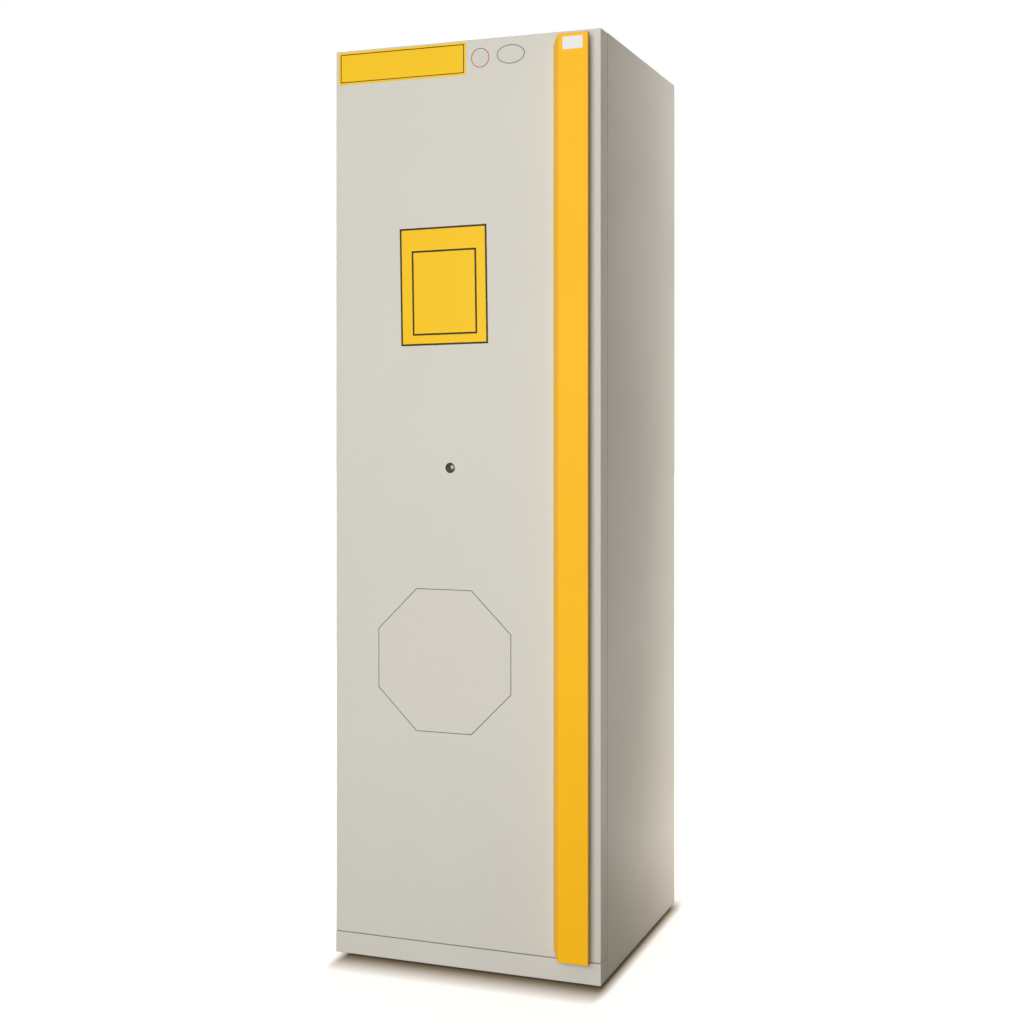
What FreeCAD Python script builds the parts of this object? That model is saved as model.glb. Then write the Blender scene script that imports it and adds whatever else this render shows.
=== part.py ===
import FreeCAD, Part
import Sketcher
import math
import os
import re

# A tall, narrow fire-resistant chemical cabinet with one door, hinged on the left.
# Millimetres. X runs to the right, Y to the rear, Z up. The origin is on the floor,
# under the middle of the whole cabinet, handle included.

doc = FreeCAD.newDocument("SafetyCabinet")
sheet = doc.addObject("Spreadsheet::Sheet", "Sizes")

# ---------------------------------------------------------------- driving sizes
sizes = {
    # the whole
    "cabinet_width": (598, "outer width of casing and door"),
    "cabinet_height": (1950, "floor to the top of the casing"),
    "cabinet_depth": (591, "door front to the outer back"),
    "foot_clear": (5, "gap between the floor and the casing"),
    # walls
    "skin_sheet": (1.2, "outer steel sheet"),
    "liner_board": (4, "inner lining board"),
    "side_wall": (55, "outer face of a side to the inside"),
    "rear_wall": (50, "outer face of the back to the inside"),
    "top_wall": (62, "top of the casing to the inside"),
    "floor_wall": (54, "underside of the floor insulation to the inside"),
    "sill_height": (104, "floor to the inside bottom"),
    "skin_return": (24, "flange where an outer sheet turns behind the board"),
    "play": (0.3, "gap between pieces that lie against each other"),
    "overshoot": (1, "how far a cutting shape reaches past what it cuts"),
    # door
    "door_thick": (45, "door front to the door back"),
    "door_gap": (4, "gap behind the door"),
    "door_low_gap": (1.2, "gap under the door"),
    "door_top_gap": (1, "gap between the door and the top hinge plate"),
    "door_sheet": (1.5, "door front sheet"),
    "door_edge_radius": (2, "bend along the door's front edges"),
    "door_return": (14, "flange that turns in at the door's back edge"),
    "plinth_height": (49.5, "floor to the top of the plinth cover"),
    "plug_depth": (22, "how far the inner panel stands into the cabinet"),
    "plug_gap": (6, "gap round the inner panel"),
    "plug_sheet": (1.2, "sheet of the inner panel and the door's back plate"),
    "plug_radius": (3, "bend along the inner panel's edges"),
    "fire_seal_inset": (10, "door edge to the fire seal"),
    "fire_seal_width": (12, "width of the fire seal"),
    "fire_seal_thick": (2, "thickness of the fire seal"),
    "smoke_seal_inset": (28, "door edge to the smoke seal"),
    "smoke_seal_width": (12, "width of the smoke seal"),
    # handle
    "handle_proud": (27, "door front to the grip face"),
    "handle_face": (64, "width of the grip face"),
    "handle_side_inset": (19, "door's right edge to the grip face"),
    "handle_slope": (18.6, "sideways run of the sloping flange"),
    "handle_foot": (16, "width of the flange fixed to the door"),
    "handle_sheet": (2.5, "sheet of the handle"),
    "handle_lip": (9, "depth of the lip that turns back at the grip's edge"),
    "handle_top_inset": (11, "door top to the handle's top end"),
    "handle_low_inset": (1.5, "door bottom to the handle's lower end"),
    "handle_cut": (18, "corner cut off the sloping flange at each end"),
    "rivet_radius": (3.2, "head of a handle rivet"),
    "rivet_head": (1.5, "height of a rivet's head"),
    "rivet_count": (9, "rivets that hold the handle"),
    # hinge
    "pivot_side": (11, "door's left edge to the pivot"),
    "pivot_back": (20, "door's back to the pivot"),
    "pin_radius": (4, "hinge pin"),
    "pin_reach": (34, "how deep a hinge pin stands in the door"),
    "pin_head_radius": (8, "head of a hinge pin"),
    "pin_head": (1, "thickness of the pin head"),
    "bush_wall": (1.5, "wall of a hinge bush"),
    "running_gap": (0.05, "gap of a turning or sliding fit"),
    "hinge_plate": (3, "thickness of both hinge plates"),
    "hinge_plate_width": (74, "width of the top hinge plate on the casing"),
    "hinge_plate_hold": (40, "how far the top hinge plate lies on the casing"),
    "hinge_flange_wide": (60, "width of the lower hinge plate's upright flange"),
    "hinge_flange_drop": (34, "height of the lower hinge plate's upright flange"),
    "block_side": (34, "width of the steel block that holds a hinge bush"),
    "block_tall": (40, "height of that block"),
    "spring_radius": (7.6, "pivot to the middle of the closing spring's wire"),
    "spring_wire": (1.3, "radius of the closing spring's wire"),
    "spring_turns": (5, "turns of the closing spring"),
    "spring_pitch": (5, "pitch of the closing spring"),
    # lock
    "lock_across": (-32, "lock, from the middle of the door"),
    "lock_up": (1053, "lock above the floor"),
    "lock_rose_radius": (11, "round head of the lock"),
    "lock_rose_proud": (2.5, "how far the head stands off the door"),
    "barrel_radius": (9.5, "lock barrel"),
    "key_plug_radius": (6.5, "turning plug inside the barrel"),
    "key_slot_width": (1.4, "key slot across the plug"),
    "key_slot_long": (8.5, "key slot along the plug"),
    "key_slot_deep": (18, "depth of the key slot"),
    "shaft_radius": (4, "shaft from the plug to the pinion"),
    "tooth_module": (1.5, "module of pinion and racks"),
    "tooth_count": (16, "teeth of the pinion"),
    "pressure_angle": (20, "pressure angle in degrees"),
    "tooth_play": (0.12, "play on each flank of a pinion tooth"),
    "gear_thick": (5, "thickness of the pinion and the racks"),
    "rack_height": (9, "bar height behind the rack's pitch line"),
    "rack_addendum": (1.35, "rack tooth above its pitch line"),
    "tooth_root": (1.8, "depth of a tooth gap below the pitch line"),
    "rack_teeth": (14, "teeth cut in each rack"),
    "rod_radius": (4, "round lock rod"),
    "rod_stand": (12, "door back plate to the middle of a rod"),
    "rod_rest": (2, "rod end below the edge of the inner panel when open"),
    "guide_wall": (3, "wall round a rod in its guide"),
    "guide_tall": (14, "height of a rod guide"),
    "guide_far": (60, "inner panel's end to the nearest rod guide"),
    "guide_near": (260, "lock to the nearest rod guide"),
    "case_tall": (84, "height of the lock case"),
    "case_sheet": (2, "sheet of the lock case"),
    "case_gap": (2, "room between the gears and the lock case"),
    "strike_wide": (40, "strike plate across"),
    "strike_deep": (15, "strike plate front to back"),
    "strike_thick": (2, "strike plate"),
    "strike_play": (1.6, "gap round a rod in its strike"),
    # inside
    "upright_width": (20, "slotted upright, front to back"),
    "upright_thick": (6, "slotted upright off the wall"),
    "upright_inset": (40, "wall end to the nearest upright"),
    "upright_sheet": (1.5, "sheet of an upright"),
    "slot_pitch": (64, "step of the slots in an upright"),
    "slot_tall": (12, "height of a slot"),
    "slot_width": (5, "width of a slot"),
    "clip_reach": (14, "how far a shelf clip stands off the upright"),
    "clip_width": (14, "shelf clip, front to back"),
    "clip_thick": (2.5, "ledge and leg of a shelf clip"),
    "clip_leg": (16, "height of a shelf clip"),
    "clip_hook": (4, "how far a clip's tongue goes through its slot"),
    "shelf_count": (3, "tray shelves"),
    "shelf_rim": (30, "height of a tray shelf"),
    "shelf_sheet": (1.2, "sheet of trays and sump"),
    "shelf_corner": (6, "outer corner radius of trays and sump"),
    "shelf_hem": (4, "edge that turns in along the rims of trays and sump"),
    "shelf_step_count": (6, "upright slots from one shelf to the next"),
    "shelf_first_count": (8, "upright slots below the lowest shelf"),
    "tray_side_gap": (3, "gap between a tray and the uprights"),
    "tray_front_gap": (12, "inner door panel to a tray"),
    "tray_rear_gap": (5, "rear air duct to a tray"),
    "sump_height": (120, "height of the bottom sump"),
    "grid_thick": (2, "sheet of the grid over the sump"),
    "grid_flange": (18, "turned-down edge of the grid"),
    "grid_rows": (8, "slots in the grid, front to back"),
    "grid_columns": (3, "slots in the grid, across"),
    "grid_slot": (14, "width of a slot in the grid"),
    "grid_bar": (24, "sheet left between the ends of two slots"),
    # air
    "duct_wide": (90, "rear air duct across"),
    "duct_deep": (28, "rear air duct off the back liner"),
    "duct_sheet": (1, "sheet of the air duct"),
    "duct_flange": (14, "flange that holds the air duct to the back liner"),
    "duct_start": (20, "inside bottom to the duct's lower end"),
    "duct_end": (90, "inside top to the duct's upper end"),
    "duct_window": (40, "height of an air window in the duct"),
    "duct_window_wide": (50, "width of an air window in the duct"),
    "duct_windows": (4, "air windows in the duct"),
    "spigot_radius": (37.5, "outside of the exhaust spigot"),
    "spigot_wall": (1.5, "wall of the exhaust spigot"),
    "spigot_tall": (60, "exhaust spigot above the casing"),
    "spigot_flange": (56, "radius of the spigot's flange"),
    "spigot_back": (96, "outer back to the middle of the spigot"),
    "grille_side": (88, "side of the exhaust grille"),
    "grille_thick": (2, "sheet of the exhaust grille"),
    "grille_slots": (6, "slots in the exhaust grille"),
    "grille_slot": (6, "width of a slot in the exhaust grille"),
    "grille_slot_long": (64, "length of a slot in the exhaust grille"),
    # base
    "base_sheet": (2, "sheet of the base frame"),
    "rail_wide": (44, "rail that a foot is screwed into"),
    "rail_up": (18, "floor to the top of a rail's web"),
    "foot_radius": (19, "pad of a levelling foot"),
    "foot_pad": (8, "thickness of a levelling foot's pad"),
    "foot_nut_tall": (6, "height of a levelling foot's nut"),
    "foot_stud": (5, "radius of a levelling foot's stud"),
    "foot_nut": (9, "radius of a levelling foot's nut across its corners"),
    "foot_inset": (50, "casing edge to the middle of a foot"),
    "clip_wide": (30, "plinth clip across"),
    "plinth_clip_up": (11, "floor to the plinth clips"),
    "earth_radius": (4, "earth stud"),
    "earth_long": (18, "earth stud above the casing"),
    "earth_nut": (7.5, "radius of the earth nut across its corners"),
    "earth_nut_tall": (5, "height of the earth nut"),
    "earth_side": (150, "earth stud, right of the middle"),
    "earth_back": (60, "outer back to the earth stud"),
    "fixing_radius": (4, "head of a casing screw"),
    "fixing_head": (1.6, "height of a casing screw's head"),
}
for row, (word, (number, meaning)) in enumerate(sizes.items(), start=1):
    sheet.set(f"A{row}", word)
    sheet.set(f"B{row}", str(number))
    sheet.set(f"C{row}", meaning)
    sheet.setAlias(f"B{row}", word)
doc.recompute()

size_word = re.compile(r"\b(" + "|".join(sizes) + r")\b")


def size(word):
    """The number that the sheet holds for a size."""
    return float(sheet.get(word))


def bind(piece, slot, rule):
    """Tie one property of a piece to a rule in the sheet's words."""
    piece.setExpression(slot, size_word.sub(lambda found: "Sizes." + found.group(0), rule))


# ---------------------------------------------------------------- shared places
left = "(-cabinet_width / 2)"
right = "(cabinet_width / 2)"
door_front = "((handle_proud - cabinet_depth) / 2)"
door_back = f"({door_front} + door_thick)"
casing_front = f"({door_back} + door_gap)"
rear = f"({door_front} + cabinet_depth)"
inside_left = f"({left} + side_wall)"
inside_right = f"({right} - side_wall)"
inside_rear = f"({rear} - rear_wall)"
inside_bottom = "sill_height"
inside_top = "(cabinet_height - top_wall)"
door_bottom = "(plinth_height + door_low_gap)"
door_top = "(cabinet_height - door_top_gap)"
pivot_x = f"({left} + pivot_side)"
pivot_y = f"({door_back} - pivot_back)"
plug_back = f"({door_back} + plug_depth)"
plug_left = f"({inside_left} + plug_gap)"
plug_right = f"({inside_right} - plug_gap)"
plug_bottom = f"({inside_bottom} + plug_gap)"
plug_top = f"({inside_top} - plug_gap)"
floor_under = f"({inside_bottom} - floor_wall)"

level_play = 0.01  # faces nearer to each other than this are level
nodes = []


# ---------------------------------------------------------------- helpers
def keep(piece):
    """Count a finished piece as a sub-part of the cabinet."""
    nodes.append(piece)
    return piece


def block(label, low, high):
    """A box between two corners."""
    piece = doc.addObject("Part::Box", label)
    for side, start, end, axis in zip(("Length", "Width", "Height"), low, high, "xyz"):
        bind(piece, side, f"({end}) - ({start})")
        bind(piece, f"Placement.Base.{axis}", start)
    return piece


turns = {
    "x": FreeCAD.Rotation(FreeCAD.Vector(0, 1, 0), 90),
    "y": FreeCAD.Rotation(FreeCAD.Vector(1, 0, 0), -90),
    "z": FreeCAD.Rotation(),
}


def cylinder(label, start, length, radius, axis="z"):
    """A round bar that starts at a point and runs along an axis."""
    piece = doc.addObject("Part::Cylinder", label)
    piece.Placement = FreeCAD.Placement(FreeCAD.Vector(), turns[axis])
    bind(piece, "Radius", radius)
    bind(piece, "Height", length)
    for rule, letter in zip(start, "xyz"):
        bind(piece, f"Placement.Base.{letter}", rule)
    return piece


def joined(label, *pieces):
    """One solid from pieces that touch."""
    piece = doc.addObject("Part::MultiFuse", label)
    piece.Shapes = list(pieces)
    piece.Refine = True
    return piece


def group(label, *pieces):
    """Separate solids under one name."""
    piece = doc.addObject("Part::Compound", label)
    piece.Links = list(pieces)
    return piece


def cut(label, base, *tools):
    """A piece with one or more shapes taken out."""
    piece = doc.addObject("Part::Cut", label)
    piece.Base = base
    piece.Tool = tools[0] if len(tools) == 1 else group(label + "_tools", *tools)
    piece.Refine = True
    return piece


def origin_plane(body, role):
    """One of a body's own three base planes."""
    return next(item for item in body.Origin.OriginFeatures if item.Role == role)


def outline(body, name, role, points, offset):
    """A closed sketch of straight lines whose corners are tied to the sheet."""
    sketch = body.newObject("Sketcher::SketchObject", name)
    sketch.AttachmentSupport = (origin_plane(body, role), [""])
    sketch.MapMode = "FlatFace"
    bind(sketch, "AttachmentOffset.Base.z", offset)
    count = len(points)
    ring = [FreeCAD.Vector(math.cos(math.tau * step / count), math.sin(math.tau * step / count), 0) * 100
            for step in range(count)]
    for step in range(count):
        sketch.addGeometry(Part.LineSegment(ring[step], ring[(step + 1) % count]), False)
    for step in range(count):
        sketch.addConstraint(Sketcher.Constraint("Coincident", step, 2, (step + 1) % count, 1))
    for step, place in enumerate(points):
        for kind, way, rule in (("DistanceX", "across", place[0]), ("DistanceY", "up", place[1])):
            index = sketch.addConstraint(Sketcher.Constraint(kind, step, 1, 1.0))
            sketch.renameConstraint(index, f"{way}_{step}")
            bind(sketch, f"Constraints.{way}_{step}", rule)
    return sketch


def pad(body, name, sketch, length, back=False):
    """Push a sketch out to a solid."""
    feature = body.newObject("PartDesign::Pad", name)
    feature.Profile = sketch
    bind(feature, "Length", length)
    feature.Reversed = back
    doc.recompute()
    return feature


def profile(label, role, points, low, high):
    """A straight length of one section, between two places along the plane's normal."""
    body = doc.addObject("PartDesign::Body", label)
    flip = role == "XZ_Plane"
    offset = f"-({high})" if flip else low
    sketch = outline(body, label + "_section", role, points, offset)
    pad(body, label + "_length", sketch, f"({high}) - ({low})")
    return body


def rounded(body, name, feature, wanted, radius):
    """Round the edges of a feature that a test picks."""
    edges = [f"Edge{number}" for number, edge in enumerate(feature.Shape.Edges, start=1)
             if wanted(edge.BoundBox)]
    fillet = body.newObject("PartDesign::Fillet", name)
    fillet.Base = (feature, edges)
    bind(fillet, "Radius", radius)
    doc.recompute()
    return fillet


def shelled(body, name, feature, wanted, wall):
    """Hollow a feature out to a sheet, open at the faces that a test picks."""
    faces = [f"Face{number}" for number, face in enumerate(feature.Shape.Faces, start=1)
             if wanted(face.BoundBox)]
    shell = body.newObject("PartDesign::Thickness", name)
    shell.Base = (feature, faces)
    shell.Reversed = True
    bind(shell, "Value", wall)
    doc.recompute()
    return shell


def rectangle(low, high):
    """Four corners of a rectangle from two opposite ones."""
    return [(low[0], low[1]), (high[0], low[1]), (high[0], high[1]), (low[0], high[1])]


def tray(label, low, high, wall, corner, hem):
    """A folded sheet tray with rounded corners, open at the top, with a rim that turns in."""
    pan = doc.addObject("PartDesign::Body", label + "_pan")
    sketch = outline(pan, label + "_plan", "XY_Plane", rectangle(low, high), low[2])
    raised = pad(pan, label + "_height", sketch, f"({high[2]}) - ({low[2]})")
    floor = raised.Shape.BoundBox.ZMin
    soft = rounded(pan, label + "_bends", raised,
                   lambda box: box.ZLength > level_play or box.ZMax < floor + level_play, corner)
    roof = soft.Shape.BoundBox.ZMax
    shelled(pan, label + "_sheet", soft, lambda box: box.ZMin > roof - level_play, wall)
    lid = doc.addObject("PartDesign::Body", label + "_lid")
    sketch = outline(lid, label + "_rim_plan", "XY_Plane", rectangle(low, high), f"{high[2]} - {wall}")
    plate = pad(lid, label + "_rim_height", sketch, wall)
    rounded(lid, label + "_rim_corners", plate, lambda box: box.ZLength > level_play, corner)
    mouth = block(label + "_mouth",
                  (f"{low[0]} + {hem}", f"{low[1]} + {hem}", f"{high[2]} - {wall} - overshoot"),
                  (f"{high[0]} - {hem}", f"{high[1]} - {hem}", f"{high[2]} + overshoot"))
    return joined(label, pan, cut(label + "_rim", lid, mouth))


def ring(label, low, high, inset, width, start, end):
    """A flat frame in the door's plane, set in from the door's edges."""
    outer = block(label + "_outer", (f"{low[0]} + {inset}", start, f"{low[1]} + {inset}"),
                  (f"{high[0]} - {inset}", end, f"{high[1]} - {inset}"))
    step = f"{inset} + {width}"
    inner = block(label + "_inner", (f"{low[0]} + {step}", f"{start} - overshoot", f"{low[1]} + {step}"),
                  (f"{high[0]} - ({step})", f"{end} + overshoot", f"{high[1]} - ({step})"))
    return cut(label, outer, inner)


# ---------------------------------------------------------------- casing
board_front = f"({casing_front} + skin_sheet)"
board_rear = f"({rear} - 2 * skin_sheet)"
board_left = f"({inside_left} - liner_board)"
board_right = f"({inside_right} + liner_board)"
spigot_y = f"({rear} - spigot_back)"
spigot_bore = "(spigot_radius - spigot_wall)"
lock_x = "lock_across"
pitch_radius = "(tooth_module * tooth_count / 2)"
rod_travel = f"({pitch_radius} * pi / 2)"
rack_shift = f"({pitch_radius} + rack_height / 2)"
upper_rod_x = f"({lock_x} - {rack_shift})"
lower_rod_x = f"({lock_x} + {rack_shift})"
rod_y = f"({door_back} + plug_sheet + rod_stand)"
strike_bore = "(rod_radius + strike_play)"
strike_depth = f"({rod_travel} + plug_gap)"


def side_sheet(label, wall, way):
    """Outer sheet of one side: covers the wall's front and turns in at the back."""
    def at(rule):
        return f"{wall} {way} ({rule})"
    points = [
        (wall, casing_front), (at("side_wall"), casing_front), (at("side_wall"), board_front),
        (at("skin_sheet"), board_front), (at("skin_sheet"), f"{rear} - skin_sheet"),
        (at("skin_return"), f"{rear} - skin_sheet"), (at("skin_return"), rear), (wall, rear),
    ]
    return profile(label, "XY_Plane", points, "foot_clear", "cabinet_height - skin_sheet")


keep(side_sheet("outer_side_left", left, "+"))
keep(side_sheet("outer_side_right", right, "-"))
keep(block("outer_back", (f"{left} + skin_sheet", board_rear, "foot_clear"),
           (f"{right} - skin_sheet", f"{rear} - skin_sheet", "cabinet_height - skin_sheet")))


def upright_hole(label, x, y, low, high, radius):
    """A round tool for a hole along Z."""
    return cylinder(label, (x, y, low), f"({high}) - ({low})", radius)


def exhaust_hole(label):
    """The way of the exhaust air through the top wall."""
    return upright_hole(label, "0", spigot_y, f"{inside_top} - overshoot", "cabinet_height + overshoot",
                        spigot_bore)


def strike_hole(label, x, edge, way):
    """The room that a lock rod's end needs beyond the inside of the top or the floor."""
    if way == "+":
        return upright_hole(label, x, rod_y, f"{edge} - overshoot", f"{edge} + {strike_depth}", strike_bore)
    return upright_hole(label, x, rod_y, f"{edge} - {strike_depth}", f"{edge} + overshoot", strike_bore)


top_plate = block("outer_top_plate", (left, casing_front, "cabinet_height - skin_sheet"),
                  (right, rear, "cabinet_height"))
top_front = block("outer_top_front", (inside_left, casing_front, inside_top),
                  (inside_right, board_front, "cabinet_height - skin_sheet"))
keep(cut("outer_top", joined("outer_top_folded", top_plate, top_front), exhaust_hole("outer_top_hole")))

keep(block("insulation_left", (f"{left} + skin_sheet", board_front, floor_under),
           (board_left, board_rear, "cabinet_height - skin_sheet")))
keep(block("insulation_right", (board_right, board_front, floor_under),
           (f"{right} - skin_sheet", board_rear, "cabinet_height - skin_sheet")))
keep(block("insulation_back", (board_left, f"{inside_rear} + liner_board", floor_under),
           (board_right, board_rear, f"{inside_top} + liner_board")))
keep(cut("insulation_top",
         block("insulation_top_board", (board_left, board_front, f"{inside_top} + liner_board"),
               (board_right, board_rear, "cabinet_height - skin_sheet")),
         exhaust_hole("insulation_top_hole"),
         strike_hole("insulation_top_strike", upper_rod_x, inside_top, "+")))
keep(cut("insulation_floor",
         block("insulation_floor_board", (board_left, board_front, floor_under),
               (board_right, f"{inside_rear} + liner_board", f"{inside_bottom} - liner_board")),
         strike_hole("insulation_floor_strike", lower_rod_x, inside_bottom, "-")))

keep(block("liner_left", (board_left, board_front, inside_bottom), (inside_left, inside_rear, inside_top)))
keep(block("liner_right", (inside_right, board_front, inside_bottom), (board_right, inside_rear, inside_top)))
keep(block("liner_back", (board_left, inside_rear, f"{inside_bottom} - liner_board"),
           (board_right, f"{inside_rear} + liner_board", f"{inside_top} + liner_board")))


def strike_place(label, x, low, high, grow=""):
    """A flat block round a strike hole, the size of a strike plate."""
    half = f"strike_wide / 2 {grow}"
    deep = f"strike_deep / 2 {grow}"
    return block(label, (f"{x} - ({half})", f"{rod_y} - ({deep})", low),
                 (f"{x} + {half}", f"{rod_y} + {deep}", high))


loose = "+ play"
keep(cut("liner_top",
         block("liner_top_board", (board_left, board_front, inside_top),
               (board_right, inside_rear, f"{inside_top} + liner_board")),
         exhaust_hole("liner_top_hole"), strike_hole("liner_top_strike", upper_rod_x, inside_top, "+"),
         strike_place("liner_top_seat", upper_rod_x, f"{inside_top} - overshoot",
                      f"{inside_top} + strike_thick", loose)))
keep(cut("liner_floor",
         block("liner_floor_board", (board_left, board_front, f"{inside_bottom} - liner_board"),
               (board_right, inside_rear, inside_bottom)),
         strike_hole("liner_floor_strike", lower_rod_x, inside_bottom, "-"),
         strike_place("liner_floor_seat", lower_rod_x, f"{inside_bottom} - strike_thick",
                      f"{inside_bottom} + overshoot", loose)))
keep(group("strike_plates",
           cut("strike_upper", strike_place("strike_upper_plate", upper_rod_x, inside_top,
                                            f"{inside_top} + strike_thick"),
               strike_hole("strike_upper_hole", upper_rod_x, inside_top, "+")),
           cut("strike_lower", strike_place("strike_lower_plate", lower_rod_x,
                                            f"{inside_bottom} - strike_thick", inside_bottom),
               strike_hole("strike_lower_hole", lower_rod_x, inside_bottom, "-"))))

# ---------------------------------------------------------------- base
rail_under = f"({floor_under} - base_sheet)"
hinge_low_level = "(plinth_height - hinge_plate)"
foot_lines = (f"({left} + foot_inset)", f"({right} - foot_inset)")
foot_rows = (f"({casing_front} + foot_inset)", f"({rear} - foot_inset)")


def foot_places():
    """The middle of each levelling foot."""
    return [(x, y) for x in foot_lines for y in foot_rows]


base_plate = block("base_plate", (f"{left} + skin_sheet", board_front, rail_under),
                   (f"{right} - skin_sheet", board_rear, floor_under))
base_sill = block("base_sill", (inside_left, casing_front, "foot_clear"),
                  (inside_right, board_front, inside_bottom))
base_rails = []
for number, line in enumerate(foot_lines, start=1):
    half = "rail_wide / 2"
    section = [
        (f"{line} - {half}", "rail_up"), (f"{line} - {half}", rail_under),
        (f"{line} - {half} - base_sheet", rail_under),
        (f"{line} - {half} - base_sheet", "rail_up - base_sheet"),
        (f"{line} + {half} + base_sheet", "rail_up - base_sheet"),
        (f"{line} + {half} + base_sheet", rail_under),
        (f"{line} + {half}", rail_under), (f"{line} + {half}", "rail_up"),
    ]
    base_rails.append(profile(f"base_rail_{number}", "XZ_Plane", section, board_front, board_rear))
stud_holes = [upright_hole(f"base_stud_hole_{number}", x, y, "0", "rail_up + overshoot", "foot_stud + play")
              for number, (x, y) in enumerate(foot_places(), start=1)]
keep(cut("base_frame", joined("base_welded", base_plate, base_sill, *base_rails), *stud_holes))


def hexagon(label, x, y, start, height, corner):
    """A nut blank along Z."""
    piece = doc.addObject("Part::Prism", label)
    piece.Polygon = 6
    bind(piece, "Circumradius", corner)
    bind(piece, "Height", height)
    for rule, letter in zip((x, y, start), "xyz"):
        bind(piece, f"Placement.Base.{letter}", rule)
    return piece


feet = []
for number, (x, y) in enumerate(foot_places(), start=1):
    disc = cylinder(f"foot_pad_{number}", (x, y, "0"), "foot_pad", "foot_radius")
    stud = cylinder(f"foot_stud_{number}", (x, y, "foot_pad"), f"{rail_under} - foot_pad - play", "foot_stud")
    nut = hexagon(f"foot_nut_{number}", x, y, "rail_up", "foot_nut_tall", "foot_nut")
    lower_nut = hexagon(f"foot_lower_nut_{number}", x, y, "foot_pad", "rail_up - base_sheet - foot_pad",
                        "foot_nut")
    feet.append(joined(f"levelling_foot_{number}", disc, stud, nut, lower_nut))
keep(group("levelling_feet", *feet))

plinth_points = [
    (f"{right}", door_front), (f"{right}", door_back), (f"{right} - door_return", door_back),
    (f"{right} - door_return", f"{door_back} - skin_sheet"),
    (f"{right} - skin_sheet", f"{door_back} - skin_sheet"),
    (f"{right} - skin_sheet", f"{door_front} + skin_sheet"),
    (f"{left} + skin_sheet", f"{door_front} + skin_sheet"),
    (f"{left} + skin_sheet", f"{door_back} - skin_sheet"),
    (f"{left} + door_return", f"{door_back} - skin_sheet"), (f"{left} + door_return", door_back),
    (left, door_back), (left, door_front),
]
plinth_front = profile("plinth_front", "XY_Plane", plinth_points, "foot_clear", "plinth_height")
plinth_lid = block("plinth_lid", (left, door_front, "plinth_height - skin_sheet"),
                   (right, door_back, "plinth_height"))
plinth_whole = joined("plinth_folded", plinth_front, plinth_lid)
keep(cut("plinth_cover", plinth_whole,
         block("plinth_hinge_notch",
               (f"{left} + skin_sheet", f"{pivot_y} - pivot_side", f"{hinge_low_level} - play"),
               (f"{left} + 2 * pivot_side", f"{door_back} + overshoot", "plinth_height + overshoot"))))
keep(group("plinth_clips", *[
    block(f"plinth_clip_{number}",
          (f"{middle} - clip_wide / 2", f"{door_front} + skin_sheet", "plinth_clip_up"),
          (f"{middle} + clip_wide / 2", casing_front, "plinth_clip_up + base_sheet"))
    for number, middle in enumerate(("-cabinet_width / 4", "0", "cabinet_width / 4"), start=1)]))

# ---------------------------------------------------------------- top fittings
tube = cylinder("spigot_tube", ("0", spigot_y, "cabinet_height"), "spigot_tall", "spigot_radius")
collar = cylinder("spigot_collar", ("0", spigot_y, "cabinet_height"), "base_sheet", "spigot_flange")
keep(cut("exhaust_spigot", joined("spigot_solid", tube, collar),
         upright_hole("spigot_bore", "0", spigot_y, "cabinet_height - overshoot",
                      "cabinet_height + spigot_tall + overshoot", spigot_bore)))
earth_y = f"({rear} - earth_back)"
stud = cylinder("earth_rod", ("earth_side", earth_y, "cabinet_height"), "earth_long", "earth_radius")
nut = hexagon("earth_nut_blank", "earth_side", earth_y, "cabinet_height", "earth_nut_tall", "earth_nut")
keep(joined("earth_stud", stud, nut))
screws = []
for number in range(4):
    angle = f"{45 + 90 * number}"
    reach = "(spigot_radius + spigot_flange) / 2"
    screws.append(cylinder(f"spigot_screw_{number + 1}",
                           (f"{reach} * cos({angle})",
                            f"{spigot_y} + {reach} * sin({angle})", "cabinet_height + base_sheet"),
                           "fixing_head", "fixing_radius"))
keep(group("spigot_screws", *screws))

# ---------------------------------------------------------------- inside
tray_left = f"({inside_left} + upright_thick + tray_side_gap)"
tray_right = f"({inside_right} - upright_thick - tray_side_gap)"
tray_front = f"({plug_back} + tray_front_gap)"
tray_rear = f"({inside_rear} - duct_deep - tray_rear_gap)"
slot_count = f"floor(({inside_top} - {inside_bottom}) / slot_pitch) - 1"
upright_rows = (f"({casing_front} + upright_inset)", f"({inside_rear} - upright_inset - upright_width)")


def upright(label, wall, way, row):
    """One slotted channel, screwed to a side liner."""
    def at(rule):
        return f"{wall} {way} ({rule})"
    end = f"{row} + upright_width"
    section = [
        (wall, row), (at("upright_thick"), row), (at("upright_thick"), end), (wall, end),
        (wall, f"{end} - upright_sheet"), (at("upright_thick - upright_sheet"), f"{end} - upright_sheet"),
        (at("upright_thick - upright_sheet"), f"{row} + upright_sheet"), (wall, f"{row} + upright_sheet"),
    ]
    body = profile(label, "XY_Plane", section, inside_bottom, inside_top)
    middle = f"({row} + upright_width / 2)"
    low = f"{inside_bottom} + slot_pitch - slot_tall"
    slot = outline(body, label + "_slot", "YZ_Plane",
                   rectangle((f"{middle} - slot_width / 2", low),
                             (f"{middle} + slot_width / 2", f"{inside_bottom} + slot_pitch")),
                   wall if way == "+" else f"{wall} - upright_thick - overshoot")
    pocket = body.newObject("PartDesign::Pocket", label + "_first_slot")
    pocket.Profile = slot
    bind(pocket, "Length", "upright_thick + overshoot")
    pocket.Reversed = True
    pattern = body.newObject("PartDesign::LinearPattern", label + "_slots")
    pattern.Originals = [pocket]
    pattern.Direction = (slot, ["V_Axis"])
    bind(pattern, "Length", f"({slot_count} - 1) * slot_pitch")
    bind(pattern, "Occurrences", slot_count)
    body.Tip = pattern
    return body


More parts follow.
